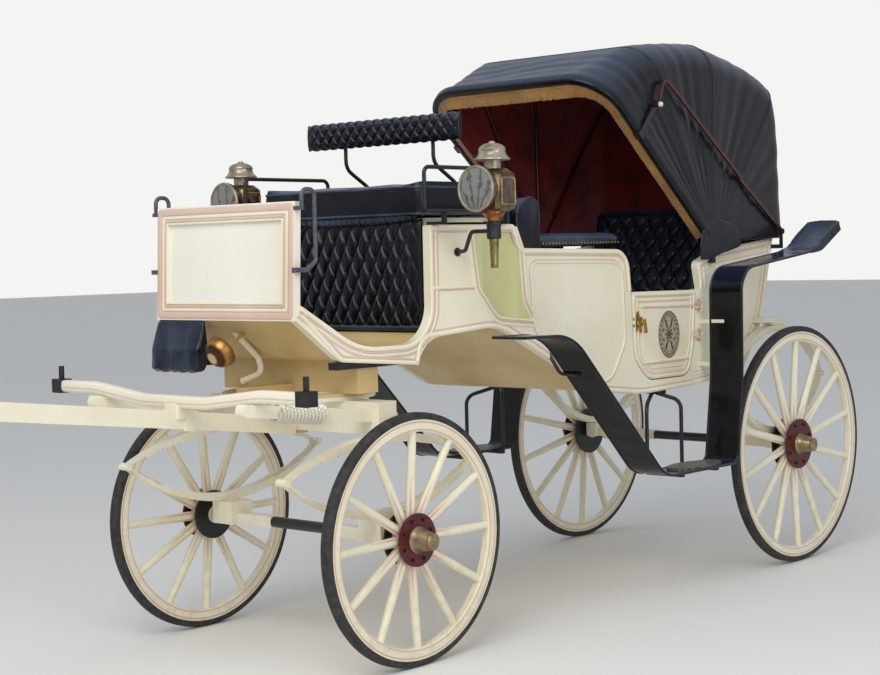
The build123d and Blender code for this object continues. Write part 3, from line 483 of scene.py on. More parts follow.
def at_z(line, z):
    """A plan's line of x and y, at a height."""
    return np.stack([line[:, 0], line[:, 1], np.full(len(line), z)], -1)


def layers(outline, middle, rows, place=at_y, wrap=True):
    """A form through copies of an outline. Each row is the copy's share of the outline, seen
    from the middle, and its place across the carriage or its height."""
    middle = np.asarray(middle)
    return patch(np.array([place(middle + (outline - middle) * share, at) for share, at in rows]),
                 wrap_columns=wrap)


# Splinter bar: one ash bar bent down in the middle, rounded, on a block over the pole, with
# a salmon line along its front.
SALMON_ENAMEL = coach_enamel("salmon_enamel", "#DFC1B3", "#D3AE9F", 0.35)
BAR_X = 3.303
BAR_Z = 1.053
BAR_DROP = 0.035
BAR_HALF = 0.0235
BAR_LINE = [(-0.719, BAR_Z, 0), (-0.470, BAR_Z, 0.260), (-0.180, BAR_Z - BAR_DROP, 0.260),
            (0.180, BAR_Z - BAR_DROP, 0.260), (0.470, BAR_Z, 0.260), (0.719, BAR_Z, 0)]
# Columns: share of the block's plan, height.
BLOCK_ROWS = [(0.0, 0.955), (0.98, 0.955), (1.0, 0.958), (1.0, 1.010), (0.98, 1.014), (0.0, 1.014)]
bar_line = rounded(BAR_LINE, step=0.02)
bar_path = np.stack([np.full(len(bar_line), BAR_X), bar_line[:, 0], bar_line[:, 1]], -1)
bar = sweep(bar_path, squircle(BAR_HALF, BAR_HALF, 3.0), (1, 0, 0))
bar_block = layers(squircle(0.0255, 0.0400, 8.0) + (BAR_X, 0), (BAR_X, 0), BLOCK_ROWS, at_z)
dressed_bar = piece("dressed_splinter_bar", "fore_carriage", CREAM_ENAMEL, [bar, bar_block],
                    sharp=50)
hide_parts("splinter_bar")
bar_bead = sweep(bar_path[3:-3] + (0.0228, 0, -0.004), flat_bead(0.0055, 0.0015), (1, 0, 0))
piece("splinter_bar_line", "fore_carriage", SALMON_ENAMEL, [bar_bead])

# Whipping: white rope wound in close turns round the near futchell, behind the splinter bar.
FUTCHELL_Y = 0.424
FUTCHELL_START = (2.590, 0.919)
FUTCHELL_SLOPE = math.tan(math.radians(6.4))
ROPE_R = 0.0075
ROPE_TURNS = 13
ROPE_OUT = 0.0325
ROPE_X = (2.975, 3.200)
ROPE_POINTS = 20


def white_rope():
    """Cotton rope, off-white, with slanting strands and darker grey bands between them."""
    paint = Finish(bpy.data.materials.new("cotton_rope"))
    strands = paint.add("TexWave", Vector=paint.place, Scale=90.0, Distortion=1.0, wave_type="BANDS",
                        bands_direction="DIAGONAL", out="Fac")
    colour = paint.add("ValToRGB", strands, stops=[(0.15, "#B9AF98"), (0.7, "#EDE8DA")])
    normal = paint.add("Bump", Height=strands, Strength=0.5, Distance=0.002)
    return paint.done(colour, 0.85, normal)


turn = np.linspace(0, 2 * math.pi * ROPE_TURNS, ROPE_TURNS * ROPE_POINTS)
along = np.linspace(*ROPE_X, len(turn))
futchell_z = FUTCHELL_START[1] + (along - FUTCHELL_START[0]) * FUTCHELL_SLOPE
wound = np.stack([along, FUTCHELL_Y + ROPE_OUT * np.cos(turn), futchell_z + ROPE_OUT * np.sin(turn)], -1)
piece("futchell_whipping", "fore_carriage", white_rope(), [sweep(wound, circle(ROPE_R, 8), (1, 0, 0))])

# Body: panelled sides, doors, dashboard and boards in cream enamel. The boards under the
# body are shaded by it and dusty, so they are a deeper, browner cream, but paler behind the
# rear seat. The seat boxes are black below the driver's.
REAR_BOARD_X = 0.30
CABIN_BOX_Z = 1.45


def below(axis, limit):
    """A mask that is 1 where the place along an axis is less than a limit."""
    return lambda paint: paint.add("Math", paint.add("SeparateXYZ", paint.place, out=axis), limit,
                                   operation="LESS_THAN")


for name in ("body_side_left", "body_side_right", "door_left", "door_right"):
    finish_node(name, CREAM_ENAMEL)
finish_node("dashboard", coach_enamel("dash_enamel", "#F3EFE2", "#EBE5D2"))
BOARD_ENAMEL = coach_enamel("board_enamel", "#D8BC83", "#B99A60", 0.5, below("X", REAR_BOARD_X + AXLE_X),
                            "#DDD5BC")
SEAT_BOX_ENAMEL = coach_enamel("seat_box_enamel", "#E4DCC6", "#CDBF9C", 0.4, below("Z", CABIN_BOX_Z),
                               "#1B1D23")
for name in ("body_boards", "top_bed"):
    finish_node(name, BOARD_ENAMEL)
finish_node("seat_boxes", SEAT_BOX_ENAMEL)

# Step treads: oval plates of worn grey steel with a raised grip pattern.


def worn_steel():
    """Grey steel worn bright on the tops of its raised pattern and darker between them."""
    paint = Finish(bpy.data.materials.new("worn_steel"))
    studs = paint.add("TexVoronoi", Vector=paint.place, Scale=62, Randomness=0.25)
    clouds = paint.add("TexNoise", Vector=paint.place, Scale=24, Detail=7)
    pattern_tone = paint.add("Math", studs, 0.7, clouds, operation="MULTIPLY_ADD")
    colour = paint.add("ValToRGB", pattern_tone, stops=[(0.45, "#A5A096"), (0.95, "#57534B")])
    normal = paint.add("Bump", Height=studs, Strength=0.8, Distance=0.002, invert=True)
    return paint.done(colour, 0.5, normal, {"Metallic": 0.5})


finish_node("step_treads", worn_steel())

# Brass: cast door handles and the turned foot gong, polished but dulled. The hinges are
# brass too, but painted over in cream, which has browned.
BRASS_BRIGHT = "#D0A355"
BRASS_DULL = "#8A6430"
BRASS = brass("polished_brass", BRASS_BRIGHT, BRASS_DULL)
HINGE_LIMIT_X = 0.75
GONG_PLACE = (3.070, 0.0, 1.190)
GONG_AXIS = (0.883, 0.0, -0.469)
GONG_R = 0.063


def gong_brass_painted_highlight():
    """The gong's bell in rings round its axis: a pale centre, which is a painted highlight,
    a dark ring and a bright rim.
    """
    paint = Finish(bpy.data.materials.new("gong_brass_painted_highlight"))
    offset = paint.add("VectorMath", paint.place, (GONG_PLACE[0] + AXLE_X, *GONG_PLACE[1:]),
                       operation="SUBTRACT")
    reach = paint.add("VectorMath", paint.add("VectorMath", offset, GONG_AXIS, operation="CROSS_PRODUCT"),
                      out="Value", operation="LENGTH")
    # The pale centre stop is a painted highlight; a dark ring and a bright rim follow.
    rings = [(0.30, "#D9BC8C"), (0.42, "#53351B"), (0.74, "#4A2E18"), (0.86, "#B58748"), (1.0, "#7E5A2E")]
    colour = paint.add("ValToRGB", paint.add("Math", reach, GONG_R, operation="DIVIDE"), stops=rings)
    return paint.done(colour, 0.32, more={"Metallic": 0.8})


def painted_hinge():
    """Brass forward of the hinges, and browned cream paint over them."""
    paint = Finish(bpy.data.materials.new("hinge_paint"))
    mottle = paint.add("TexNoise", Vector=paint.place, Scale=60, Detail=6)
    x = paint.add("SeparateXYZ", paint.place, out="X")
    bare = paint.add("Math", x, AXLE_X + HINGE_LIMIT_X, operation="GREATER_THAN")
    browned = paint.add("ValToRGB", mottle, stops=[(0.38, "#DCCFB4"), (0.66, "#A98C74")])
    bright = paint.add("ValToRGB", mottle, stops=[(0.35, BRASS_BRIGHT), (0.75, BRASS_DULL)])
    colour = paint.add("MixRGB", bare, browned, bright)
    return paint.done(colour, 0.32, more={"Metallic": bare})


HINGE_PAINT = painted_hinge()
for name in ("door_hardware_left", "door_hardware_right", "door_hinge_pins"):
    finish_node(name, HINGE_PAINT)
finish_node("foot_gong", gong_brass_painted_highlight())

# Wings: patent leather on boards and iron, black, very glossy, with soft ripples where it
# was stretched.


def leather(name, light, dark, gloss, grain_mm, ripple, faded_and_sheen="#465068", share=0.7, coat=0.0):
    """Dressed hide: a cell grain, soft ripples, paler rubbed patches, and a share of blue-grey
    where it faces up, which is a painted sky reflection."""
    paint = Finish(bpy.data.materials.new(name))
    rubbed = paint.add("TexNoise", Vector=paint.place, Scale=7, Detail=6, Roughness=0.6)
    up = paint.add("SeparateXYZ", paint.add("TexCoord", out="Normal"), out="Z")
    hide = paint.add("ValToRGB", rubbed, stops=[(0.36, dark), (0.72, light)])
    # Painted sky reflection: the blue-grey is mixed in, up to share, where the surface faces up.
    colour = paint.add("MixRGB", paint.add("MapRange", up, 0.15, 0.95, 0.0, share), hide, faded_and_sheen)
    rough = paint.add("MapRange", rubbed, 0.3, 0.75, gloss, gloss + 0.16)
    cells = paint.add("TexVoronoi", Vector=paint.place, Scale=1000 / grain_mm)
    fine = paint.add("Bump", Height=cells, Strength=0.22, Distance=0.0008)
    clouds = paint.add("TexNoise", Vector=paint.place, Scale=11, Detail=3)
    soft = paint.add("Bump", Height=clouds, Strength=ripple, Distance=0.02, Normal=fine)
    return paint.done(colour, rough, soft, {"Specular IOR Level": 0.30, "Coat Weight": coat})


# Its upper faces take a painted blue-grey sky reflection, #2C3550 at up to half strength.
PATENT_LEATHER = leather("patent_leather", "#101115", "#050608", 0.12, 9, 0.25, "#2C3550", 0.5)
finish_node("wings", PATENT_LEATHER)

# Side mouldings: thin beads pinned round each panel, picked out in salmon with a cream bead
# beside it. The thin salmon strands are partly lining and partly a painted shadow beside the
# cream beads. They lie on the body's swept side.
BODY_HALF = 0.500
DASH_HALF = 0.390
SWEEP_X = 1.000
DASH_X = 3.052
sweep_r = ((DASH_X - SWEEP_X) ** 2 + (BODY_HALF - DASH_HALF) ** 2) / (2 * (BODY_HALF - DASH_HALF))


def side_y(x):
    """Half width of the body: straight beside the passengers, then an arc in to the dash."""
    along = np.clip(np.asarray(x, float) - SWEEP_X, 0, None)
    return BODY_HALF - sweep_r + np.sqrt(sweep_r ** 2 - along ** 2)


def shifted(line, distance, closed=False):
    """A line moved sideways in its own plane, to the left of its direction."""
    if closed:
        direction = unit(np.roll(line, -1, axis=0) - np.roll(line, 1, axis=0))
    else:
        direction = unit(np.gradient(line, axis=0))
    return line + np.stack([-direction[:, 1], direction[:, 0]], -1) * distance


def on_side(line):
    """A side view line laid on the body's left side."""
    return at_y(line, side_y(line[:, 0]))


FOOTWELL_EDGE = [(3.024, 1.356, 0), (2.760, 1.190, 0.330), (2.392, 1.190, 0.150), (2.390, 1.634, 0)]
SEAT_SIDE = [(2.388, 1.646, 0), (1.905, 1.646, 0.022), (1.872, 1.548, 0.045), (1.152, 1.532, 0.095),
             (1.133, 1.352, 0)]
LOWER_EDGE = [(0.650, 0.902, 0), (0.700, 0.900, 0.900), (1.060, 0.890, 0.600), (1.395, 0.927, 0.160),
              (2.010, 1.240, 0.330), (2.440, 1.208, 0.130), (2.460, 1.120, 0)]
WAIST_LINE = [(2.380, 1.402, 0), (2.150, 1.402, 0)]
COVE_FRONT = [(2.165, 1.630, 0), (2.128, 1.390, 0.06), (2.018, 1.262, 0.10), (1.800, 1.240, 0)]
COVE_REAR = [(1.912, 1.630, 0), (1.870, 1.540, 0.04), (1.852, 1.330, 0.10), (1.800, 1.258, 0)]
CABIN_PANEL = [(1.812, 1.492, 0.04), (1.196, 1.480, 0.08), (1.180, 1.130, 0.12), (1.288, 0.966, 0.10),
               (1.392, 0.968, 0.10), (1.792, 1.200, 0.10)]
REAR_QUARTER = [(0.584, 1.340, 0), (0.602, 1.462, 0.030), (0.440, 1.516, 0.160), (-0.062, 1.566, 0.004),
                (0.056, 1.152, 0.500), (0.236, 0.930, 0.055), (0.640, 0.902, 0)]
TOE_EDGE = [(3.030, 1.318, 0), (2.848, 1.144, 0.060), (2.480, 1.112, 0)]
# Columns: line, closed, and its strands. Columns of a strand: offset, width, rise, salmon,
# which marks a strand that is partly lining and partly painted shadow.
SIDE_STRANDS = [
    (FOOTWELL_EDGE, False, ((0.009, 0.018, 0.006, 0), (0.023, 0.008, 0.003, 1), (0.034, 0.008, 0.004, 0),
                            (0.043, 0.006, 0.002, 1))),
    (SEAT_SIDE, False, ((0.010, 0.020, 0.008, 0), (0.026, 0.007, 0.002, 1))),
    (LOWER_EDGE, False, ((0.009, 0.018, 0.007, 0), (0.023, 0.008, 0.002, 1))),
    (WAIST_LINE, False, ((0.0, 0.014, 0.006, 0), (0.010, 0.005, 0.002, 1))),
    (COVE_FRONT, False, ((0.012, 0.013, 0.006, 0), (0.001, 0.010, 0.004, 1), (-0.009, 0.010, 0.005, 0))),
    (COVE_REAR, False, ((-0.014, 0.014, 0.007, 0), (-0.002, 0.009, 0.003, 1), (0.007, 0.009, 0.004, 0))),
    (CABIN_PANEL, True, ((0.0, 0.012, 0.005, 0), (-0.009, 0.005, 0.0015, 1))),
    (REAR_QUARTER, False, ((0.010, 0.020, 0.007, 0), (0.026, 0.007, 0.002, 1), (0.047, 0.010, 0.004, 0),
                           (0.056, 0.005, 0.0015, 1))),
    (TOE_EDGE, False, ((-0.006, 0.016, 0.006, 0), (-0.019, 0.008, 0.003, 1))),
]


def strands(rows, place, lining_and_shadow_patches, cream_patches):
    """Beads along lines, each carried beside its line at its own offset."""
    for table, closed, columns in rows:
        line = rounded(table, closed=closed)
        for offset, width, rise, salmon in columns:
            path = place(shifted(line, offset, closed))
            made = sweep(path, flat_bead(width, rise), (0, 1, 0), closed=closed)
            (lining_and_shadow_patches if salmon else cream_patches).append(made)


lining_and_shadow_beads, cream_beads = [], []
strands(SIDE_STRANDS, on_side, lining_and_shadow_beads, cream_beads)
# Thin salmon strands: partly lining, partly painted shadow beside the cream beads.
piece("side_lining_and_painted_shadows", "body", SALMON_ENAMEL, mirrored(lining_and_shadow_beads))
piece("side_beads", "body", CREAM_ENAMEL, mirrored(cream_beads))

# Cove: the concave quarter between the driver's part and the wider cabin, in a pale
# yellow-green that is a painted reflection of green surroundings. Its paint follows the
# hollow that is cut in the side.
COVE_MIDDLE_X = 2.010
COVE_R = 0.260
COVE_DEPTH = 0.020
COVE_Z = (1.250, 1.620)
PAINT_T = 0.0008
cove_z = np.linspace(COVE_Z[0] - 0.003, COVE_Z[1] + 0.020, 60)[:, None]
front_line, rear_line = rounded(COVE_FRONT, step=0.004), rounded(COVE_REAR, step=0.004)
cove_front_x = np.interp(cove_z, front_line[::-1, 1], front_line[::-1, 0])
cove_rear_x = np.interp(cove_z, rear_line[::-1, 1], rear_line[::-1, 0])
share = np.linspace(0, 1, 40)[None, :]
cove_x = cove_rear_x * (1 - share) + cove_front_x * share
cove_axis_y = side_y(COVE_MIDDLE_X) + COVE_R - COVE_DEPTH
hollow_y = cove_axis_y - np.sqrt(np.clip(COVE_R ** 2 - (cove_x - COVE_MIDDLE_X) ** 2, 0, None))
in_hollow = (cove_z < COVE_Z[1]) & (cove_z > COVE_Z[0])
cove_y = np.where(in_hollow, np.minimum(side_y(cove_x), hollow_y), side_y(cove_x)) + PAINT_T
cove_face = np.stack([cove_x, cove_y, np.broadcast_to(cove_z, cove_x.shape)], -1)
cove_rings = np.concatenate([cove_face, cove_face[:, ::-1] - (0, 2 * PAINT_T, 0)], axis=1)
# Pale yellow-green: a painted reflection of green surroundings on the cove.
COVE_REFLECTION_TINT = coach_enamel("cove_reflection_tint", "#D9D79C", "#C4BF84")
piece("cove_reflection_coat", "body", COVE_REFLECTION_TINT, mirrored([tube(cove_rings)]), sharp=50)

# Door mouldings: beads along the door's edge, heavy rails above and below its panel and a
# thin line at the panel's sides. Their thin salmon strands are partly lining and partly
# painted shadow of the beads and rails.
DOOR_EDGE = [(1.124, 1.341, 0.006), (1.112, 1.050, 0.110), (1.010, 0.952, 0.110), (0.690, 0.952, 0.070),
             (0.648, 1.082, 0.060), (0.625, 1.335, 0.006)]
DOOR_PANEL = [(1.046, 1.276, 0.010), (1.046, 1.030, 0.014), (0.694, 1.034, 0.030), (0.660, 1.110, 0.080),
              (0.652, 1.268, 0.010)]
DOOR_STRANDS = [
    (DOOR_EDGE, True, ((-0.009, 0.014, 0.006, 0), (-0.020, 0.006, 0.002, 1), (-0.034, 0.010, 0.004, 0),
                       (-0.042, 0.005, 0.002, 1))),
    (DOOR_PANEL, True, ((0.0, 0.006, 0.003, 0),)),
    ([(1.056, 1.282, 0), (0.646, 1.274, 0)], False, ((0.0, 0.017, 0.009, 0), (0.012, 0.004, 0.001, 1))),
    ([(1.054, 1.027, 0), (0.690, 1.030, 0)], False, ((0.0, 0.015, 0.009, 0), (0.011, 0.004, 0.001, 1))),
]
DOORS = (("left", "door_left", 1), ("right", "door_right", -1))


def handed(patches, hand):
    """The left door's patches, for the door of hand 1 (left) or -1 (right)."""
    return [(points * (1, hand, 1), quads) for points, quads in patches]


for side, body, hand in DOORS:
    lines, beads = [], []
    strands(DOOR_STRANDS, on_side, lines, beads)
    piece("door_beads_" + side, body, CREAM_ENAMEL, handed(beads, hand))
    # The door's thin salmon strands are partly lining and partly painted shadow.
    piece("door_lining_and_painted_shadows_" + side, body, SALMON_ENAMEL, handed(lines, hand))

# Door ornament: a painted oval between two rings, with a rosette, a band of small leaves and
# two sprigs, in umber. It is a plain pattern made for this door.
ORNAMENT = (0.842, 1.144)


def umber_paint(name, dark, light):
    """Thin sign-writer's paint, umber with worn patches."""
    paint = Finish(bpy.data.materials.new(name))
    clouds = paint.add("TexNoise", Vector=paint.place, Scale=90, Detail=5)
    return paint.done(paint.add("ValToRGB", clouds, stops=[(0.35, dark), (0.75, light)]), 0.45)


UMBER = umber_paint("umber_paint", "#5A4C40", "#8A7B68")
UMBER_WASH = umber_paint("umber_wash", "#9C8D78", "#C4B8A0")


def flat_shape(outline, lift=0.0008):
    """A thin painted shape on the door's face, from its outline in x and z."""
    rows = ((0.0, lift), (0.92, lift), (1.0, 0.0), (1.0, -0.001), (0.0, -0.001))
    return layers(outline, outline.mean(0), [(share, BODY_HALF + rise) for share, rise in rows])


def oval(centre, half_x, half_z, turn=0.0, count=20):
    """Points round an ellipse, turned by an angle."""
    ring = circle(1.0, count) * (half_x, half_z)
    spin = np.array([[math.cos(turn), -math.sin(turn)], [math.sin(turn), math.cos(turn)]])
    return ring @ spin.T + centre


def near_ornament(x, z):
    """A place in side view, from the middle of the door's ornament."""
    return ORNAMENT[0] + x, ORNAMENT[1] + z


def ring_line(half_x, half_z, thickness):
    """An oval ring on the door's face."""
    return sweep(at_y(oval(ORNAMENT, half_x, half_z, count=72), BODY_HALF), circle(thickness, 8), (0, 1, 0),
                 closed=True)


LEAVES = 26
LEAF_BAND = (0.0685, 0.092)
LEAF_LEAN = 0.9
PETALS = 8
PETAL_OUT = 0.019
SPRIG_ROWS = 4
# Columns: centre, half sizes in x and z, turn.
ovals = []
for turn in np.arange(LEAVES) * 2 * math.pi / LEAVES:
    leaf = near_ornament(LEAF_BAND[0] * math.cos(turn), LEAF_BAND[1] * math.sin(turn))
    ovals.append((leaf, 0.0105, 0.0052, turn + LEAF_LEAN))
for turn in np.arange(PETALS) * 2 * math.pi / PETALS:
    petal = near_ornament(PETAL_OUT * math.cos(turn), PETAL_OUT * math.sin(turn))
    ovals.append((petal, 0.0165, 0.0065, turn))
ovals.append((ORNAMENT, 0.0075, 0.0075, 0.0))
for hand_z in (-1, 1):
    for row in range(SPRIG_ROWS):
        for lean in (-1, 1):
            leaf = near_ornament(lean * (0.016 + 0.003 * row), hand_z * (0.036 + 0.010 * row))
            ovals.append((leaf, 0.0150 - 0.0014 * row, 0.0056, hand_z * lean * 0.75))
    for lean in (-1, 1):
        ovals.append((near_ornament(lean * 0.042, hand_z * 0.022), 0.0070, 0.0120, lean * hand_z * 0.5))
field = [flat_shape(oval(ORNAMENT, 0.079, 0.103, count=60), 0.0004)]
marks = [ring_line(0.080, 0.104, 0.0030), ring_line(0.057, 0.080, 0.0018)]
marks += [flat_shape(oval(*row)) for row in ovals]
for side, body, hand in DOORS:
    piece("ornament_field_" + side, body, UMBER_WASH, handed(field, hand))
    piece("door_ornament_" + side, body, UMBER, handed(marks, hand))

# Handle plates: cast brass leaves spread round each door's handle.
HANDLE = (1.085, 1.205)
# Columns: direction in degrees, half length.
HANDLE_LEAVES = ((90, 0.046), (38, 0.034), (142, 0.034), (-20, 0.030), (200, 0.030), (-62, 0.040),
                 (242, 0.040))
LEAF_SHARE = 0.62
LEAF_HALF = 0.011
LEAF_RISE = 0.005
leaves = []
for degrees, length in HANDLE_LEAVES:
    lean = math.radians(degrees)
    reach = length * LEAF_SHARE
    middle = (HANDLE[0] + reach * math.cos(lean), HANDLE[1] + reach * math.sin(lean))
    leaves.append(flat_shape(oval(middle, reach, LEAF_HALF, lean), LEAF_RISE))
leaves.append(turned([(0.0, 0.0), (0.0, 0.017), (0.008, 0.016), (0.013, 0.011), (0.016, 0.0)],
                     (HANDLE[0], BODY_HALF, HANDLE[1]), (0, 1, 0), 24))
for side, body, hand in DOORS:
    piece("handle_plate_" + side, body, BRASS, handed(leaves, hand), sharp=50)

# Dashboard mouldings: a broad salmon frame, a cream fillet inside it and the sunk panel.
dash_low, dash_high = np.array(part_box("dashboard"))
DASH_LEAN = math.radians(-2.6)
DASH_FACE = 0.015
DASH_CORNER = 0.004
dash_half_y = dash_high[1]
dash_mid_x, dash_mid_z = ((dash_low + dash_high) / 2 - (AXLE_X, 0, 0))[[0, 2]]
dash_half_z = (dash_high[2] - dash_low[2]) / 2 - 0.001


def on_dash(across, up):
    """A point of the dashboard's front face, which leans back at its top."""
    x = DASH_FACE * math.cos(DASH_LEAN)
    return (dash_mid_x + x * math.cos(DASH_LEAN) + up * math.sin(DASH_LEAN), across,
            dash_mid_z - x * math.sin(DASH_LEAN) + up * math.cos(DASH_LEAN))


def dash_frame(inset, width, rise):
    """A moulding carried round a rectangle on the dashboard's face."""
    y, z = dash_half_y - inset, dash_half_z - inset
    path = []
    for sign_y, sign_z in ((1, 1), (-1, 1), (-1, -1), (1, -1)):
        for k in range(3):
            turn = math.pi / 4 * k
            along = (1 - math.sin(turn), 1 - math.cos(turn))
            first = along if sign_y * sign_z > 0 else along[::-1]
            path.append(on_dash(sign_y * (y - DASH_CORNER * first[1]),
                                sign_z * (z - DASH_CORNER * first[0])))
    return sweep(path, flat_bead(width, rise), (math.cos(DASH_LEAN), 0, -math.sin(DASH_LEAN)), closed=True)


piece("dash_salmon_frame", "body", SALMON_ENAMEL,
      [dash_frame(0.018, 0.026, 0.006), dash_frame(0.052, 0.011, 0.004)])
piece("dash_cream_frame", "body", CREAM_ENAMEL,
      [dash_frame(0.039, 0.013, 0.005), dash_frame(0.063, 0.009, 0.006)])

# Seat upholstery: black hide over horsehair, buttoned in diamonds on the fall, backs and
# sides, with piped edges. Pleats run from button to button.
# Its upward faces take leather()'s default painted blue-grey sky reflection.
SEAT_LEATHER = leather("seat_leather", "#14171F", "#07080B", 0.24, 7, 0.14)


def pad_share(t, n=10.0, power=0.42):
    """Rounded-edge profile: 1 over the middle of a pad, falling to 0 at t = -1 and 1."""
    return np.clip(1 - np.abs(t) ** n, 0, 1) ** power


def edge_dense(count):
    """Numbers from -1 to 1, even in the middle and close together at the ends."""
    middle = np.linspace(-1, 1, count)
    near = 1 - np.array([0.002, 0.006, 0.012, 0.02, 0.03, 0.045])
    return np.unique(np.concatenate([middle, near, -near]))


BUTTON = [(-0.004, 0.0), (-0.004, 0.007), (0.001, 0.0065), (0.004, 0.003), (0.005, 0)]
BUTTON_MARGIN = 0.02


def tufts(u, v, pitch_u, pitch_v, depth):
    """Diamond buttoning: depth is lost along pleats where u/pitch_u plus or minus
    v/pitch_v is a whole number, and most of all at the buttons where both are."""
    a = np.abs(np.sin(math.pi * (u / pitch_u + v / pitch_v)))
    b = np.abs(np.sin(math.pi * (u / pitch_u - v / pitch_v)))
    puff = np.sqrt((1 - (1 - a) ** 2.4) * (1 - (1 - b) ** 2.4))
    return depth * (1 - puff)


def tufted_pad(centre, u_axis, v_axis, size, depth, pitch, tuft, counts, back=0.35, wave=0.0):
    """A buttoned pad and its buttons. Its front stands out by depth with rounded edges, less
    the buttoning, and its back by a share of it; both meet at the edge. Its upper and lower
    edges swell by wave between the pleats."""
    u_axis, v_axis = unit(np.array(u_axis, float)), unit(np.array(v_axis, float))
    out_axis = np.cross(u_axis, v_axis)
    t, s = np.meshgrid(edge_dense(counts[0]), edge_dense(counts[1]), indexing="ij")
    u, v = t * size[0] / 2, s * size[1] / 2
    v = v + wave * s ** 3 * np.abs(np.sin(math.pi * u / pitch[0]))
    body_share = pad_share(t) * pad_share(s, 3.0 if wave else 10.0)
    quiet = np.clip((1 - np.maximum(np.abs(t) ** 8, np.abs(s) ** 8)), 0, 1)
    rise = depth * body_share - tufts(u, v, pitch[0], pitch[1], tuft) * quiet * body_share
    base = np.asarray(centre, float) + u[..., None] * u_axis + v[..., None] * v_axis
    front = patch(base + rise[..., None] * out_axis)
    rear = patch(base - (depth * back * body_share)[..., None] * out_axis)
    buttons = []
    across, up = [int(size[k] / 2 / (pitch[k] / 2)) for k in (0, 1)]
    for i in range(-across, across + 1):
        for k in range(-up, up + 1):
            place_u, place_v = i * pitch[0] / 2, k * pitch[1] / 2
            inside = max(abs(place_u) - size[0] / 2, abs(place_v) - size[1] / 2) <= -BUTTON_MARGIN
            if inside and (i + k) % 2 == 0:
                place = np.asarray(centre) + place_u * u_axis + place_v * v_axis + (depth - tuft) * out_axis
                buttons.append(turned(BUTTON, place, out_axis, 8))
    return [front, rear], buttons


def resampled(line, count):
    """Points evenly round a closed line."""
    loop = np.concatenate([line, line[:1]])
    lengths = np.r_[0, np.cumsum(np.linalg.norm(np.diff(loop, axis=0), axis=1))]
    even = np.linspace(0, lengths[-1], count, endpoint=False)
    return np.stack([np.interp(even, lengths, loop[:, 0]), np.interp(even, lengths, loop[:, 1])], -1)


def rounded_rectangle(half_x, half_y, radius, count=160):
    """Points evenly round a rectangle with round corners."""
    table = [(half_x, half_y, radius), (-half_x, half_y, radius), (-half_x, -half_y, radius),
             (half_x, -half_y, radius)]
    return resampled(rounded(table, step=0.01, closed=True), count)


def box_cushion(low, high, crown, corner=0.035, dip=None):
    """A boxed cushion: a crowned top whose sides pull in between the corners, an upright
    border that bellies a little, a flat underside, and piping at both seams. dip gives how
    far the top is raised at a place across it."""
    low, high = np.array(low, float), np.array(high, float)
    middle, half = (low + high) / 2, (high - low) / 2
    outline = rounded_rectangle(half[0] - 0.006, half[1] - 0.006, corner)
    pull = 1 - 0.012 * (1 - np.abs(outline[:, 1] / half[1]) ** 4) * (np.abs(outline[:, 0]) > half[0] * 0.8)
    outline = outline * np.stack([pull, np.ones(len(outline))], -1)
    seam_low, seam_high = low[2] + 0.008, high[2] - crown
    rings = [(0.0, low[2]), (0.9, low[2]), (0.985, low[2] + 0.002), (1.0, seam_low)]
    lower_seam = len(rings) - 1
    rings += [(1 + 0.010 * math.sin(math.pi * t), seam_low + (seam_high - seam_low) * t)
              for t in (0.2, 0.4, 0.6, 0.8)]
    rings += [(1.0, seam_high)]
    upper_seam = len(rings) - 1
    rings += [(share, seam_high + crown * (1 - share ** 2.6)) for share in np.linspace(0.985, 0.0, 34)]
    grid = np.array([at_z(middle[:2] + outline * share, z) for share, z in rings])
    if dip is not None:
        top = grid[upper_seam + 1:]
        top[..., 2] += dip(top[..., 1])
    seams = [sweep(grid[lower_seam], circle(0.005, 8), (0, 0, 1), closed=True),
             sweep(grid[upper_seam] + (0, 0, 0.001), circle(0.0055, 8), (0, 0, 1), closed=True)]
    return [patch(grid, wrap_columns=True)], seams


def hide(name, patches, material=SEAT_LEATHER, sharp=60):
    """A leather piece of the seats."""
    return piece(name, "body", material, patches, sharp=sharp)


# Piping and rolls: the black hide painted a lighter blue-grey, a painted highlight along them.
PIPING_HIGHLIGHT_LEATHER = leather("piping_leather_painted_highlight", "#48546A", "#1E232E", 0.22, 7, 0.05)
ACROSS, UPWARD = (0, 1, 0), (0, 0, 1)
END_RISE = 0.030
RISE_START, RISE_STOP = 0.24, 0.45
SEAT_SINK = 0.004


def raised_ends(y):
    """The driver's cushion rises towards its ends, where the seat's sides hold it up, and
    sinks where it is sat on."""
    end_rise = END_RISE * np.clip((np.abs(y) - RISE_START) / (RISE_STOP - RISE_START), 0, 1) ** 2
    return end_rise - SEAT_SINK * np.cos(math.pi * y / RISE_STOP) ** 2


cushion, seams = box_cushion((2.006, -0.451, 1.684), (2.443, 0.451, 1.820), 0.026, dip=raised_ends)
driver_cushion = hide("driver_cushion", cushion)
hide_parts("driver_seat_pads")
hide("driver_cushion_piping", seams, PIPING_HIGHLIGHT_LEATHER, 40)
FALL_HALF = 0.404
FALL_Z = (1.236, 1.672)
fall, buttons = tufted_pad((2.376, 0, sum(FALL_Z) / 2), ACROSS, UPWARD,
                           (2 * FALL_HALF, FALL_Z[1] - FALL_Z[0]), 0.031, (0.066, 0.132), 0.024, (200, 110),
                           back=0.1)
driver_fall = hide("driver_seat_fall", fall)
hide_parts("driver_seat_pads")
hide("driver_fall_buttons", buttons, sharp=40)


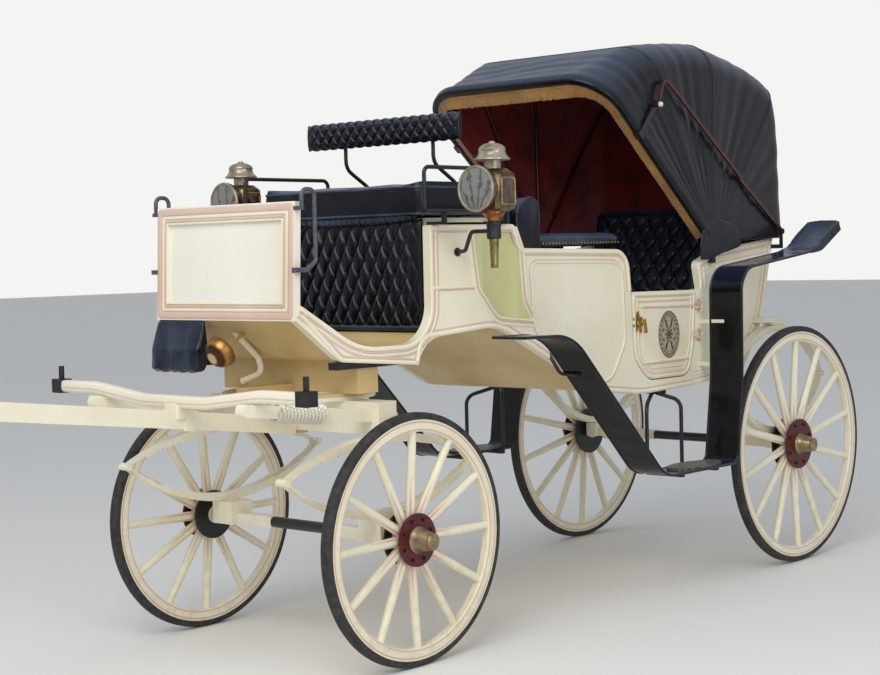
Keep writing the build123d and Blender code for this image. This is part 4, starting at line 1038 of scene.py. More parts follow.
def gathered_roll(path, radius, pleat, depth, side):
    """A stuffed roll drawn tight by cross pleats: its radius falls by a share of depth at
    each pleat, and it closes at both ends."""
    path = np.asarray(path, float)
    lengths = np.r_[0, np.cumsum(np.linalg.norm(np.diff(path, axis=0), axis=1))]
    press = 1 - depth * (1 - np.abs(np.sin(math.pi * lengths / pleat)) ** 0.7)
    press = press * pad_share(np.linspace(-1, 1, len(path)), 30, 0.5)
    direction = unit(np.gradient(path, axis=0))
    across = unit(np.cross(np.broadcast_to(np.asarray(side, float), path.shape), direction))
    upward = np.cross(direction, across)
    ring = circle(radius, 18)
    rings = path[:, None] + press[:, None, None] * (ring[:, 0, None] * across[:, None] +
                                                    ring[:, 1, None] * upward[:, None])
    return patch(rings, wrap_columns=True)


# Columns: x, height in the middle, rise to the ends, radius, pleat, depth.
ROLLS = ((2.404, 1.676, 0.022, 0.023, 0.034, 0.34), (2.392, 1.246, 0.0, 0.012, 0.4, 0.0))
roll_y = np.linspace(-FALL_HALF, FALL_HALF, 280)
rolls = []
for x, z, end_rise, radius, pleat, depth in ROLLS:
    path = np.stack([np.full(280, x), roll_y, z + end_rise * np.abs(roll_y / FALL_HALF) ** 3], -1)
    rolls.append(gathered_roll(path, radius, pleat, depth, UPWARD))
fall_rolls = hide("driver_fall_rolls", rolls, PIPING_HIGHLIGHT_LEATHER, 70)

# Foot mat: a bound mat of dark red-brown pile on the driver's floor.
MAT_X = (2.404, 2.760)
MAT_HALF = 0.330
MAT_Z = 1.1605
MAT_T = 0.008
# Columns: share of the half width, share of the thickness.
MAT_RING = np.array([(-1.0, 0.0), (-1.0, 0.7), (-0.98, 1.0), (0.98, 1.0), (1.0, 0.7), (1.0, 0.0)])


def mat_pile():
    """Looped wool pile: dark red-brown, dusty, a few millimetres between loops."""
    paint = Finish(bpy.data.materials.new("wool_pile"))
    clouds = paint.add("TexNoise", Vector=paint.place, Scale=14, Detail=5)
    cells = paint.add("TexVoronoi", Vector=paint.place, Scale=180)
    colour = paint.add("ValToRGB", clouds, stops=[(0.35, "#3A1C22"), (0.75, "#5A4446")])
    normal = paint.add("Bump", Height=cells, Strength=0.6, Distance=0.003)
    return paint.done(colour, 0.95, normal)


mat_ring = (0, MAT_Z) + MAT_RING * (MAT_HALF, MAT_T)
mat = tube([np.column_stack([np.full(6, x), mat_ring]) for x in np.linspace(*MAT_X, 30)])
piece("driver_foot_mat", "body", mat_pile(), [mat])

# Driver's backrest: a soft buttoned roll along the seat's rail, that swells between pleats.
back_pad, buttons = tufted_pad((2.170, 0, 2.042), ACROSS, UPWARD, (0.870, 0.100), 0.034, (0.052, 0.066),
                               0.019, (220, 40), back=1.0, wave=0.007)
driver_pad = hide("driver_backrest", back_pad)
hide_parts("driver_seat_pads")
hide("driver_backrest_buttons", buttons, sharp=40)

# Cabin upholstery: two facing seats in the same hide, with rolled arms on the side panels
# and buttoned quarters under the hood.
cushion, seams = box_cushion((1.445, -0.447, 1.2405), (1.765, 0.447, 1.344), 0.028)
facing_cushion = hide("facing_cushion", cushion)
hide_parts("cabin_cushions")
cushion, more_seams = box_cushion((0.169, -0.453, 1.1855), (0.549, 0.453, 1.309), 0.034)
rear_cushion = hide("rear_cushion", cushion)
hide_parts("cabin_cushions")
hide("cabin_piping", seams + more_seams, PIPING_HIGHLIGHT_LEATHER, 40)


def profile_pad(table, half_y):
    """A seat back: its side view carried across the seat, rounded at both ends."""
    line = rounded(table, step=0.014, closed=True)
    centre = line.mean(0)
    t = edge_dense(int(half_y * 2 / 0.008))
    ends = 1 - 0.05 * (1 - pad_share(t, 40, 0.5))
    return [tube([at_y(centre + (line - centre) * end, y) for end, y in zip(ends, t * half_y)])]


FACING_BACK = [(1.786, 1.242, 0.008), (1.724, 1.733, 0.03), (1.782, 1.763, 0.03), (1.878, 1.710, 0.06),
               (1.968, 1.600, 0.01), (1.968, 1.254, 0.006), (1.898, 1.242, 0.006)]
FACING_CAP = [(1.722, 1.553, 0.0), (1.724, 1.733, 0.03), (1.782, 1.763, 0.03), (1.866, 1.716, 0.06),
              (1.872, 1.553, 0.0)]
CAP_MIDDLE = (1.797, 1.553)
# Columns: share of the end's outline, place across.
CAP_ROWS = ((1.0, 0.428), (1.0, 0.460), (0.96, 0.467), (0.0, 0.469))
facing_back = hide("facing_backrest", profile_pad(FACING_BACK, 0.436), sharp=50)
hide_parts("cabin_backs")
cap_line = rounded(FACING_CAP, step=0.01)
end_pad = layers(cap_line, CAP_MIDDLE, CAP_ROWS, wrap=False)
end_piping = sweep(at_y(cap_line, 0.462), circle(0.005, 8), (0, 1, 0))
hide("facing_back_ends", mirrored([end_pad]), sharp=50)
hide("facing_back_piping", mirrored([end_piping]), PIPING_HIGHLIGHT_LEATHER, 40)
rear_panel, buttons = tufted_pad((0.126, 0, 1.500), ACROSS, (-0.30, 0, 1), (0.900, 0.420), 0.040,
                                 (0.090, 0.130), 0.026, (180, 90), back=0.1)
rear_face = hide("rear_back_face", rear_panel)
hide("rear_back_buttons", buttons, sharp=40)
REAR_BACK = [(0.138, 1.207, 0.006), (0.156, 1.330, 0.06), (0.098, 1.640, 0.06), (0.084, 1.733, 0.034),
             (0.022, 1.733, 0.03), (-0.036, 1.564, 0.012), (0.066, 1.207, 0.006)]
rear_back = hide("rear_backrest", profile_pad(REAR_BACK, 0.450), sharp=50)
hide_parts("cabin_backs")
quarter, buttons = tufted_pad((0.400, 0.464, 1.400), (1, 0, 0), UPWARD, (0.400, 0.180), 0.020, (0.080, 0.110),
                              0.013, (90, 40), back=0.0)
hide("cabin_quarter_pads", mirrored(quarter))
hide("cabin_quarter_buttons", mirrored(buttons), sharp=40)
ARM = (0.438, 1.581)
ARM_HALF = (0.044, 0.029)
ARM_X = (1.168, 1.735)
arm_ring = circle(1.0, 26) * ARM_HALF
arm_shares = pad_share(np.linspace(-1, 1, 70), 14, 0.5)
arm_roll = patch(np.array([np.column_stack([np.full(26, x), ARM + arm_ring * share])
                           for x, share in zip(np.linspace(*ARM_X, 70), arm_shares)]), wrap_columns=True)
# The arm rolls' lighter blue-grey on black is a painted highlight.
ARM_HIGHLIGHT_LEATHER = leather("arm_leather_painted_highlight", "#3E4960", "#0C0E14", 0.18, 7, 0.4)
arm_rolls = hide("arm_rolls", mirrored([arm_roll]), ARM_HIGHLIGHT_LEATHER)
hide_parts("cabin_backs")
NAIL = [(-0.002, 0), (0, 0.0048), (0.0022, 0.0040), (0.0038, 0)]
NAIL_SPACE = 0.022
nails = [turned(NAIL, (x, ARM[0] + 0.040, ARM[1] - 0.014), (0, 1, -0.35), 8)
         for x in np.arange(1.19, 1.73, NAIL_SPACE)]
piece("arm_nails", "body", BRASS, mirrored(nails))

# Lamps: an oblong case with framed brown panes at its sides and a large round lens in front,
# a pale domed chimney, a copper cup below, and a candle tube in a black socket.
LAMP = (2.316, 0.715)
LAMP_LENS_Z = 1.776
LENS_OUT = 0.108
STREAKS_START_Z = LAMP_LENS_Z - 0.115
CASE_HALF = (0.058, 0.074)
PANE_Z = 1.766


def lens_glass():
    """Old lamp glass over a silvered reflector: grey, with dark streaks that fan up from
    the bottom of the lens, and a sharp shine."""
    paint = Finish(bpy.data.materials.new("lens_glass"))
    y = paint.add("SeparateXYZ", paint.place, out="Y")
    aside = paint.add("Math", paint.add("Math", y, operation="ABSOLUTE"), LAMP[1], operation="SUBTRACT")
    z = paint.add("SeparateXYZ", paint.place, out="Z")
    lean = paint.add("Math", aside, paint.add("Math", z, STREAKS_START_Z, operation="SUBTRACT"),
                     operation="DIVIDE")
    clouds = paint.add("TexNoise", Vector=paint.place, Scale=34, Detail=4)
    turns = paint.add("Math", lean, 17.0, paint.add("Math", clouds, 9.0, operation="MULTIPLY"),
                      operation="MULTIPLY_ADD")
    colour = paint.add("ValToRGB", paint.add("Math", turns, operation="SINE"),
                       stops=[(0.0, "#7A7873"), (0.74, "#62615C"), (0.98, "#424446")])
    return paint.done(colour, 0.12, more={"Coat Weight": 1.0, "Coat Roughness": 0.02})


def brown_pane():
    """Brown side glass, lit only by what it reflects."""
    paint = Finish(bpy.data.materials.new("brown_glass"))
    clouds = paint.add("TexNoise", Vector=paint.place, Scale=30, Detail=3)
    colour = paint.add("ValToRGB", clouds, stops=[(0.3, "#2E1D12"), (0.8, "#5C4128")])
    return paint.done(colour, 0.05, more={"Coat Weight": 1.0})


def lamp_turned(profile, count):
    """A part of the lamp turned round its upright axis, from pairs of height and radius."""
    return turned(profile, (*LAMP, 0), (0, 0, 1), count)


def lens_turned(profile, out=0.0):
    """A part turned round the lens's axis, from pairs of distance forward and radius."""
    return turned([(out + along, radius) for along, radius in profile], (*LAMP, LAMP_LENS_Z), (1, 0, 0), 56)


def lamp_piece(name, material, patches):
    """A piece of both lamps."""
    return piece("lamp_" + name, "body", material, mirrored(patches))


CASE_METAL = brass("lamp_case_metal", "#8C7757", "#46382A")
CAP_METAL = brass("lamp_cap_metal", "#BDB19C", "#766C5D", 0.6)
cap = lamp_turned([(1.846, 0.032), (1.884, 0.032), (1.884, 0.066), (1.887, 0.0695), (1.891, 0.069),
                   (1.897, 0.062), (1.903, 0.056), (1.912, 0.0525), (1.922, 0.051), (1.926, 0.0525),
                   (1.930, 0.051), (1.938, 0.045), (1.944, 0.035), (1.948, 0.023), (1.9495, 0.013),
                   (1.954, 0.0125), (1.957, 0.008), (1.9575, 0.0)], 48)
lamp_piece("caps", CAP_METAL, [cap])
cup = lamp_turned([(1.640, 0.020), (1.645, 0.019), (1.652, 0.022), (1.664, 0.027), (1.676, 0.038),
                   (1.684, 0.046), (1.694, 0.0465), (1.694, 0.0)], 36)
lamp_piece("cups", brass("copper_brass", "#B4764A", "#5E3A24"), [cup])
socket = lamp_turned([(1.586, 0.0), (1.586, 0.025), (1.590, 0.0275), (1.600, 0.0285), (1.604, 0.0275),
                      (1.636, 0.0275), (1.640, 0.0285), (1.650, 0.0275), (1.654, 0.022), (1.654, 0.0)], 32)
lamp_piece("sockets", BLACK_ENAMEL, [socket])
candle = lamp_turned([(1.4765, 0.0), (1.4765, 0.0130), (1.482, 0.0150), (1.486, 0.0152), (1.489, 0.0148),
                      (1.5865, 0.0190), (1.5865, 0.0)], 28)
lamp_piece("candle_tubes", brass("tube_brass", "#A99C62", "#6A6140"), [candle])
# Columns: share of the case's plan, height.
CASE_ROWS = [(0.0, 1.690), (0.62, 1.690), (0.92, 1.697), (1.0, 1.706), (1.0, 1.826), (0.97, 1.833),
             (0.72, 1.848), (0.66, 1.852), (0.0, 1.853)]
case_ring = rounded_rectangle(*CASE_HALF, 0.016, 64)
case = layers(case_ring + LAMP, LAMP, CASE_ROWS, at_z)
drum = lens_turned([(0.052, 0.0), (0.052, 0.064), (0.062, 0.076), (0.076, 0.083), (0.090, 0.087),
                    (0.101, 0.087), (0.101, 0.0)])
lamp_cases = lamp_piece("cases", CASE_METAL, [case, drum])
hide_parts("lamps")
rim = lens_turned([(-0.012, 0.0795), (-0.012, 0.0865), (-0.009, 0.088), (-0.005, 0.088), (-0.002, 0.0855),
                   (-0.002, 0.0805), (-0.005, 0.078), (-0.012, 0.0795)], LENS_OUT)
lens = lens_turned([(-0.010, 0.0), (-0.010, 0.081), (-0.006, 0.0795), (-0.003, 0.066), (-0.0005, 0.040),
                    (0.0, 0.0)], LENS_OUT)
lamp_piece("glasses", lens_glass(), [lens])
# Columns: share of the pane's outline, distance outward.
PANE_ROWS = ((0.0, 0.0015), (0.94, 0.0015), (1.0, 0.0), (1.0, -0.002), (0.0, -0.002))
PANE_MIDDLE = (LAMP[0], PANE_Z)
pane = rounded_rectangle(0.035, 0.046, 0.003, 48)
panes, frames = [], []
for sign in (1, -1):
    pane_y = LAMP[1] + sign * (CASE_HALF[1] + 0.0005)
    rows = [(share, pane_y + sign * out) for share, out in PANE_ROWS]
    panes.append(layers(pane + PANE_MIDDLE, PANE_MIDDLE, rows))
    frames.append(sweep(at_y(PANE_MIDDLE + pane * (1.12, 1.09), pane_y), circle(0.0050, 8), (0, 1, 0),
                        closed=True))
lamp_piece("rims", CAP_METAL, [rim])
lamp_piece("pane_rims", brass("pane_rim_brass", "#B9A584", "#6E5D45"), frames)
lamp_piece("side_panes", brown_pane(), panes)

# Folding hood: one continuous black hide over four hoops, lined in dark red cloth, bound at
# its front edge and piped at the other hoops, with a gold fringe round the opening.
PIVOT = np.array([0.500, 1.556])
HOOD_HALF = 0.512
# Columns: angle above the horizontal in degrees, reach from the pivot to the top, bend.
HOOPS = [(40.3, 1.108, 0.190), (60.0, 1.000, 0.130), (89.5, 0.910, 0.130), (127.5, 0.955, 0.130),
         (178.5, 0.690, 0.130)]
SEAT = 0.0135
HOOD_WALL = 0.006
FOOT = 0.062
SOFTEN = 0.62
DRAW_IN = 0.006
CREASE = 0.0022
# Its upward faces take a painted blue-grey sky reflection, #3F4960 at up to 0.85 strength.
HOOD_LEATHER = leather("hood_leather", "#17171C", "#0C0B0F", 0.30, 6, 0.22, "#3F4960", 0.85, 0.25)


def lining_cloth():
    """Dark red woven lining: a soft weave, a little sheen, and darker patches at random."""
    paint = Finish(bpy.data.materials.new("hood_lining_cloth"))
    clouds = paint.add("TexNoise", Vector=paint.place, Scale=9, Detail=6)
    cells = paint.add("TexVoronoi", Vector=paint.place, Scale=260)
    colour = paint.add("ValToRGB", clouds, stops=[(0.30, "#8E0C18"), (0.75, "#4E0811")])
    normal = paint.add("Bump", Height=cells, Strength=0.25, Distance=0.001)
    return paint.done(colour, 0.85, normal, {"Sheen Weight": 0.3})


LINING = lining_cloth()


def hood_section(hoop, lift=SEAT, counts=(34, 16, 44)):
    """One hoop's leather line as (distance from the pivot, across): up one leg, round the
    bend, over the top and down the other leg. Counts are the points in each."""
    count_leg, count_bend, count_top = counts
    y, top, radius = HOOD_HALF + lift, hoop[1] + lift, hoop[2] + lift
    leg = np.stack([np.linspace(FOOT, top - radius, count_leg, endpoint=False), np.full(count_leg, y)], -1)
    arc = circle(radius, count_bend, 0, math.pi / 2)
    bend = np.stack([top - radius + arc[:, 1], y - radius + arc[:, 0]], -1)
    half = np.stack([np.full(count_top, top), np.linspace(y - radius, 0, count_top)], -1)
    first = np.concatenate([leg, bend, half])
    return np.concatenate([first, first[-2::-1] * (1, -1)])


def hood_point(angle, section):
    """Places a hoop's line at its angle round the pivot."""
    turn = math.radians(angle)
    return np.stack([PIVOT[0] + section[:, 0] * math.cos(turn), section[:, 1],
                     PIVOT[1] + section[:, 0] * math.sin(turn)], -1)


hoop_lines = [hood_point(hoop[0], hood_section(hoop)) for hoop in HOOPS]
gaps = [HOOPS[row + 1][0] - HOOPS[row][0] for row in range(4)]
slopes = [(hoop_lines[row + 1] - hoop_lines[row]) / gaps[row] for row in range(4)]


def hood_panel(row, rows=30):
    """The leather between two hoops. Each thread is a cubic that leaves a hoop partly along
    the chord and partly along the mean slope of its two panels (share SOFTEN), so the hide
    bends softly over the hoop. Between hoops its sides draw in and crease a little:
    inward = sin(pi t)^2 (DRAW_IN + CREASE times a wave), less near the pivot."""
    t = np.linspace(0, 1, rows)[:, None, None]
    start, stop, gap = hoop_lines[row], hoop_lines[row + 1], gaps[row]
    chord = stop - start
    before = slopes[row - 1] if row > 0 else slopes[row]
    after = slopes[row + 1] if row < 3 else slopes[row]
    lead = chord * (1 - SOFTEN) + SOFTEN * gap * (before + slopes[row]) / 2
    tail = chord * (1 - SOFTEN) + SOFTEN * gap * (after + slopes[row]) / 2
    grid = ((2 * t ** 3 - 3 * t ** 2 + 1) * start + (t ** 3 - 2 * t ** 2 + t) * lead +
            (3 * t ** 2 - 2 * t ** 3) * stop + (t ** 3 - t ** 2) * tail)
    reach = np.hypot(grid[..., 0] - PIVOT[0], grid[..., 2] - PIVOT[1])
    loose = np.clip((reach - 0.16) / 0.25, 0, 1) * np.sin(math.pi * t[..., 0]) ** 2
    along = np.linspace(0, 1, grid.shape[1])[None, :]
    crease = np.sin(9 * math.pi * t[..., 0] + 7 * along + 2.2 * np.sin(11 * along + row))
    inward = loose * (DRAW_IN + CREASE * crease)
    side_share = np.clip((np.abs(grid[..., 1]) - 0.33) / 0.16, 0, 1)
    toward = np.stack([(PIVOT[0] - grid[..., 0]) * (1 - side_share), -np.sign(grid[..., 1]) * side_share,
                       (PIVOT[1] - grid[..., 2]) * (1 - side_share)], -1)
    return grid + unit(toward) * inward[..., None]


def grid_area(grid):
    """Area of a grid of points, in square metres."""
    u, v = np.diff(grid, axis=0)[:, :-1], np.diff(grid, axis=1)[:-1]
    return float(np.linalg.norm(np.cross(u, v), axis=-1).sum())


# Columns: CAD piece, the bodies on either side of the sheet, the bow that holds it. Only
# the CAD piece is read here; the sheet rides on no body.
PANELS = [("hood_leather_front", "hood_front", "hood_second", "hood_bow_front"),
          ("hood_leather_middle", "hood_second", "hood_third", "hood_bow_second"),
          ("hood_leather_rear", "hood_third", "hood_rear", "hood_bow_rear"),
          ("hood_leather_curtain", "hood_rear", "body", "hood_bow_rear")]
for row, (node, body_a, body_b, bow) in enumerate(PANELS):
    grid = hood_panel(row)
    made = piece("dressed_" + node, None, HOOD_LEATHER, [patch(grid)], sharp=75, ride=False)
    made.data.materials.append(LINING)
    wall = made.modifiers.new("wall", "SOLIDIFY")
    wall.thickness = HOOD_WALL
    wall.offset = 1.0
    wall.material_offset = 1
    wall.material_offset_rim = 0
    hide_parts(node)
    area = grid_area(grid)
    pair = HOOPS[row:row + 2]
    width = 2 * (max(hoop[1] for hoop in pair) + HOOD_HALF)
    longest = float(np.linalg.norm(np.diff(grid, axis=0), axis=-1).sum(0).max())
    length = max(area / width * 1.02, longest)
    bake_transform(made)


def hoop_frame(row):
    """A hoop's outward direction in its own plane and the direction forward out of it."""
    turn = math.radians(HOOPS[row][0])
    return np.array((math.cos(turn), 0, math.sin(turn))), np.array((math.sin(turn), 0, -math.cos(turn)))


# Columns: forward out of the hoop's plane, inward from its bar.
BINDING = [(0.004, 0.010), (0.014, 0.010), (0.0185, 0.004), (0.0205, -0.006), (0.0200, -0.016),
           (0.0160, -0.0225), (0.008, -0.0250), (-0.018, -0.0245), (-0.0225, -0.0225), (-0.0225, -0.0195),
           (0.004, -0.0195)]
front_line = hood_point(HOOPS[0][0], hood_section(HOOPS[0], lift=0.0, counts=(60, 30, 60)))
# Its upward faces take leather()'s default painted blue-grey sky reflection.
ROLL_LEATHER = leather("roll_leather", "#15161B", "#07080A", 0.22, 6, 0.2)
piece("hood_front_binding", "hood_front", ROLL_LEATHER, [sweep(front_line, BINDING, hoop_frame(0)[1])],
      sharp=50)
for body, row in (("hood_second", 1), ("hood_third", 2), ("hood_rear", 3)):
    seam_line = hood_point(HOOPS[row][0], hood_section(HOOPS[row], lift=SEAT + 0.0045))
    piece(body + "_welt", body, HOOD_LEATHER, [sweep(seam_line, circle(0.0035, 8), hoop_frame(row)[1])],
          sharp=70)

# Pivot covers: the hide's lower corner on each side, which hangs over the pivots and the
# body's top edge with slight creases.
COVER = [(0.250, 1.540, 0.030), (0.330, 1.640, 0.080), (0.480, 1.668, 0.060), (0.585, 1.640, 0.050),
         (0.622, 1.545, 0.040), (0.622, 1.476, 0.014), (0.560, 1.477, 0.060), (0.430, 1.506, 0.080)]
COVER_MIDDLE = np.array([0.480, 1.565])
# Columns: share of the outline, distance from the carriage's middle.
COVER_ROWS = ((0.0, 0.5318), (1.0, 0.5318), (1.0, 0.5340), (0.985, 0.5356), (0.94, 0.5364), (0.86, 0.5366),
              (0.76, 0.5364), (0.66, 0.5366), (0.56, 0.5364), (0.44, 0.5366), (0.30, 0.5364), (0.15, 0.5364),
              (0.0, 0.5364))
CREASED_Y = 0.535
cover_line = rounded(COVER, step=0.006, closed=True)
cover_rows = []
for share, out in COVER_ROWS:
    ring = COVER_MIDDLE + (cover_line - COVER_MIDDLE) * share
    creased = 0.1 < share < 0.97 and out > CREASED_Y
    cover_rows.append(at_y(ring, out + 0.0012 * np.sin(40 * ring[:, 0] + 25 * ring[:, 1]) * creased))
cover = patch(np.array(cover_rows), wrap_columns=True)
piece("hood_pivot_covers", "body", HOOD_LEATHER, mirrored([cover]), sharp=60)

# Fringe: gold silk cords, which hang inward under a woven heading along the front hoop.


def gold_fringe():
    """Gold and tan silk fringe: fine cords side by side, faded in places."""
    paint = Finish(bpy.data.materials.new("gold_fringe"))
    clouds = paint.add("TexNoise", Vector=paint.place, Scale=210, Detail=2)
    cords = paint.add("ValToRGB", clouds, stops=[(0.3, "#7A5626"), (0.7, "#C79748")])
    clouds = paint.add("TexNoise", Vector=paint.place, Scale=7, Detail=4)
    faded_and_sheen = paint.add("ValToRGB", clouds, stops=[(0.3, "#C9B48C"), (0.7, "#FFFFFF")])
    colour = paint.add("MixRGB", 1.0, cords, faded_and_sheen, blend_type="MULTIPLY")
    return paint.done(colour, 0.6, more={"Sheen Weight": 0.4})


DROP_SIDE, DROP_TOP = 0.041, 0.061
DROP_SPREAD = 0.035
RIPPLE = 0.0010
FRINGE_FORWARD = 0.0130
fringe_line = hood_point(HOOPS[0][0], hood_section(HOOPS[0], lift=-0.007, counts=(200, 80, 150)))
outward, forward = hoop_frame(0)
count = len(fringe_line)
flat_top = np.clip(1 - (np.abs(fringe_line[:, 1]) - 0.33) / 0.17, 0, 1)[:, None]
inward = -outward * flat_top - np.sign(fringe_line) * (0, 1, 0) * (1 - flat_top)
hang = unit(unit(inward) * (0.55 + 0.45 * (1 - flat_top)) + np.array((0, 0, -1.0)) * (0.35 + 0.75 * flat_top))
cord = np.random.default_rng(5).normal(0, 1, count)
drop = (DROP_SIDE + (DROP_TOP - DROP_SIDE) * flat_top[:, 0]) * (1 + DROP_SPREAD * cord)
cord_out = RIPPLE * np.sin(np.arange(count) * math.pi * 0.66)
# Columns: share of the drop, half thickness, share of the cords' ripple.
FRINGE_ROWS = [(0.0, 0.0025, 0.0), (0.10, 0.0040, 0.0), (0.20, 0.0040, 0.0), (0.22, 0.0022, 1.0),
               (0.6, 0.0022, 1.0), (0.95, 0.0022, 1.0), (1.0, 0.0010, 1.0)]
ring = FRINGE_ROWS + [(share, -thick, ripple) for share, thick, ripple in FRINGE_ROWS[::-1]]
fringe = np.stack([fringe_line + hang * (drop * share)[:, None] +
                   forward * (FRINGE_FORWARD + thick + ripple * cord_out)[:, None]
                   for share, thick, ripple in ring], 1)
piece("hood_front_fringe", "hood_front", gold_fringe(), [tube(fringe)], sharp=50)

# Hood irons: dark red enamel. The small bracket on the front hoop is black, and the knob at
# the head of each joint iron is white.
for name in ("hood_bow_second", "hood_bow_third", "hood_bow_rear", "joint_irons_lower"):
    finish_node(name, RED_ENAMEL)
finish_node("hood_bow_front", red_enamel("front_bow_enamel", 0.5225))
finish_node("joint_irons_upper", red_enamel("iron_with_knob", 0.560, "#D8D4C8"))

# Wing edging: a leather roll sewn round each wing's edge, and a scoop with raised rims at
# the rear end.
WING_Y = (0.566, 0.732)
WING_LINE = [(2.160, 1.200, 0), (1.860, 1.196, 0.260), (1.225, 0.552, 0.180), (0.655, 0.552, 0.040),
             (0.600, 0.940, 0.500), (0.594, 1.431, 0.120), (-0.130, 1.512, 0.150), (-0.320, 1.612, 0)]
SCOOP_X = 0.030
RIM_RISE = 0.030
END_BOW = 0.024
SCOOP_WAVE = 0.0012
EDGE_R = 0.0065
wing_line = rounded(WING_LINE, step=0.018)
wing_middle = sum(WING_Y) / 2
wing_half = (WING_Y[1] - WING_Y[0]) / 2


def upward_of(line):
    """Directions across a side view line, upward where it runs to the rear."""
    along = unit(np.gradient(line, axis=0))
    return np.stack([along[:, 1], -along[:, 0]], -1)


scoop_line = wing_line[wing_line[:, 0] < SCOOP_X]
scoop_line = scoop_line[scoop_line[:, 1] > 1.4]
upward = upward_of(scoop_line)
progress = np.linspace(0, 1, len(scoop_line))
rim_rise = RIM_RISE * np.sin(np.clip(progress * 1.25, 0, 1) * math.pi / 2) ** 2
lifts = np.r_[np.zeros(len(wing_line) - len(scoop_line)), rim_rise]
rim_line = wing_line + upward_of(wing_line) * lifts[:, None]
edge_ring = circle(EDGE_R, 12)
edges = [sweep(at_y(rim_line, y), edge_ring, (0, 1, 0)) for y in WING_Y]
end_shape = 1 - np.linspace(-1, 1, 25) ** 4
end_line = rim_line[-1] + end_shape[:, None] * (-END_BOW, END_BOW / 3)
edges.append(sweep(at_y(end_line, np.linspace(*WING_Y, 25)), edge_ring, (0, 0, 1)))
start_line = np.repeat(wing_line[:1], 12, axis=0)
edges.append(sweep(at_y(start_line, np.linspace(*WING_Y, 12)), edge_ring, (0, 0, 1)))
# Its upward faces take leather()'s default painted blue-grey sky reflection.
WING_EDGE_LEATHER = leather("wing_edge_leather", "#1D222D", "#08090C", 0.16, 9, 0.3)
piece("wing_edges", "body", WING_EDGE_LEATHER, mirrored(edges), sharp=60)
share = np.linspace(-1, 1, 21)
dish = []
for side_out, raised in ((0.0080, 1.0), (-0.0085, 0.0)):
    rows = []
    for k in range(len(scoop_line)):
        fade = 0.15 + 0.85 * min(1.0, progress[k] / 0.15)
        lip = np.clip((progress[k] - 0.72) / 0.28, 0, 1) ** 2
        bowl = np.clip((np.abs(share) ** 6 + lip ** 3) ** 0.5, 0, 1)
        wave = SCOOP_WAVE * raised * fade * np.sin(5 * share + 9 * progress[k]) * (1 - share ** 2)
        rise = raised * rim_rise[k] * bowl + side_out * fade + wave
        stretch = END_BOW * (1 - share ** 4) * progress[k] ** 6
        line = scoop_line[k] + upward[k] * rise[:, None] + stretch[:, None] * (-1, 0.3)
        rows.append(at_y(line, wing_middle + (wing_half + 0.004) * share))
    dish.append(np.array(rows))
scoop = tube(np.concatenate([dish[0], dish[1][:, ::-1]], axis=1))
# The scoops' blue-grey is a painted highlight on the black patent leather.
piece("wing_scoops", "body", leather("scoop_leather_painted_highlight", "#2A3347", "#0A0C11", 0.10, 9, 0.5), mirrored([scoop]),
      sharp=60)

# Splash flap: a folded hide hung under the dashboard's edge on one side, soft and creased.
FLAP = [(3.058, 1.304, 0.004), (3.099, 1.190, 0.060), (3.107, 1.104, 0.010), (3.050, 1.104, 0.020),
        (3.039, 1.200, 0.040), (3.046, 1.304, 0.004)]
FLAP_Y = (-0.397, -0.113)
FLAP_HELD_Z = 1.290
FOLD = 0.0055
SAG = 0.002
flap_line = rounded(FLAP, step=0.008, closed=True)
flap_middle = flap_line.mean(0)
hanging = np.clip((FLAP_HELD_Z - flap_line[:, 1]) / 0.12, 0, 1)
flap_rows = []
for t in edge_dense(60):
    hold = pad_share(np.array([t]), 26, 0.5)[0]
    fold = FOLD * hanging * np.sin(9.0 * t + 12.0 * flap_line[:, 1]) * hold
    sag = SAG * hanging * np.sin(17 * t)
    line = flap_middle + (flap_line - flap_middle) * (0.25 + 0.75 * hold) + np.stack([fold, sag], -1)
    flap_rows.append(at_y(line, sum(FLAP_Y) / 2 + t * (FLAP_Y[1] - FLAP_Y[0]) / 2))
# The flap's upward faces take leather()'s default painted blue-grey sky reflection.
splash_flap = piece("hide_flap", "body", leather("flap_leather", "#30384A", "#0D0F14", 0.20, 8, 0.4),
                    [tube(flap_rows)], sharp=60)
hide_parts("splash_flap")

# Setting: a pale floor, an even sky and two soft lamps, seen from the front left.
FLOOR_HALF = 60
SKY_STRENGTH = 0.66
# Columns: name, place, size, watts, what it is aimed at.
LIGHTS = (("key_lamp", (4.5, 2.5, 6.0), 5.0, 300, (-1.6, 0, 1.0)),
          ("fill_lamp", (1.5, 8.5, 3.5), 5.0, 150, (-1.0, 0, 1.0)))
CAMERA_PLACE = (AXLE_X + 7.304, 4.908, 1.538)
YAW, PITCH, ROLL = math.radians(-138.06), math.radians(2.83), math.radians(-1.41)
FOCAL_PIXELS = 1709
PHOTO_WIDTH = 880
SENSOR_WIDTH = 36


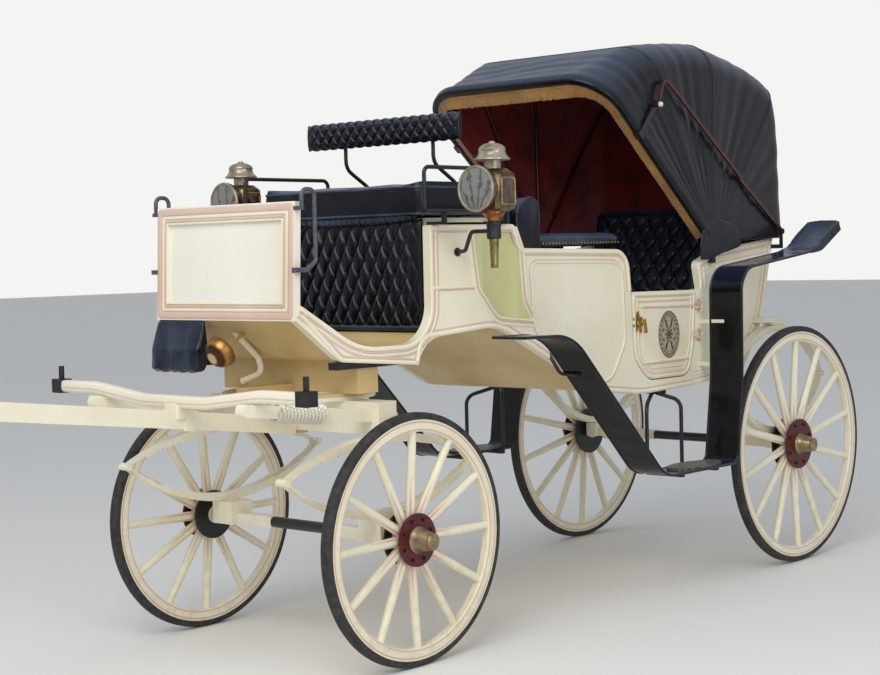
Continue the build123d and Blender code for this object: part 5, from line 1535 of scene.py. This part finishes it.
def staged(name, data):
    """An object in the scene, from its data."""
    made = bpy.data.objects.new(name, data)
    bpy.context.scene.collection.objects.link(made)
    return made


def level_axes(toward):
    """The level direction to the right and the upright one, seen along a direction."""
    right = unit(np.cross(toward, (0, 0, 1)))
    return right, np.cross(right, toward)


def aim(made, place, right, up, toward):
    """Places an object that looks along its own -z."""
    made.matrix_world = Matrix([[right[i], up[i], -toward[i], place[i]] for i in range(3)] + [[0, 0, 0, 1]])


floor_mesh = bpy.data.meshes.new("floor")
floor_mesh.from_pydata([(x * FLOOR_HALF, y * FLOOR_HALF, 0) for x, y in ((-1, -1), (1, -1), (1, 1), (-1, 1))],
                       [], [(0, 1, 2, 3)])
floor = staged("floor", floor_mesh)
floor.data.materials.append(Finish(bpy.data.materials.new("pale_floor")).done("#EDEBE7", 0.9))
world = bpy.data.worlds.new("even_sky")
bpy.context.scene.world = world
air = Finish(world)
air.tree.nodes.clear()
sky = air.add("Background", Color="#DDE3EA", Strength=SKY_STRENGTH)
white = air.add("Background", Color="#F4F4F2", Strength=1.0)
seen = air.add("LightPath", out="Is Camera Ray")
fill(air.tree, air.tree.nodes.new("ShaderNodeOutputWorld"),
     {"Surface": air.add("MixShader", seen, sky, white)})
for name, place, size, power, target in LIGHTS:
    light = bpy.data.lights.new(name, "AREA")
    light.size = size
    light.energy = power
    toward = unit(np.array(target) - np.array(place))
    aim(staged(name, light), place, *level_axes(toward), toward)

toward = np.array([math.cos(YAW) * math.cos(PITCH), math.sin(YAW) * math.cos(PITCH), -math.sin(PITCH)])
level, upright = level_axes(toward)
right = math.cos(ROLL) * level + math.sin(ROLL) * upright
up = math.cos(ROLL) * upright - math.sin(ROLL) * level
camera_data = bpy.data.cameras.new("camera")
camera_data.sensor_width = SENSOR_WIDTH
camera_data.lens = SENSOR_WIDTH * FOCAL_PIXELS / PHOTO_WIDTH
camera = staged("camera", camera_data)
aim(camera, CAMERA_PLACE, right, up, toward)
bpy.context.scene.camera = camera
bpy.context.scene.view_settings.view_transform = "Standard"
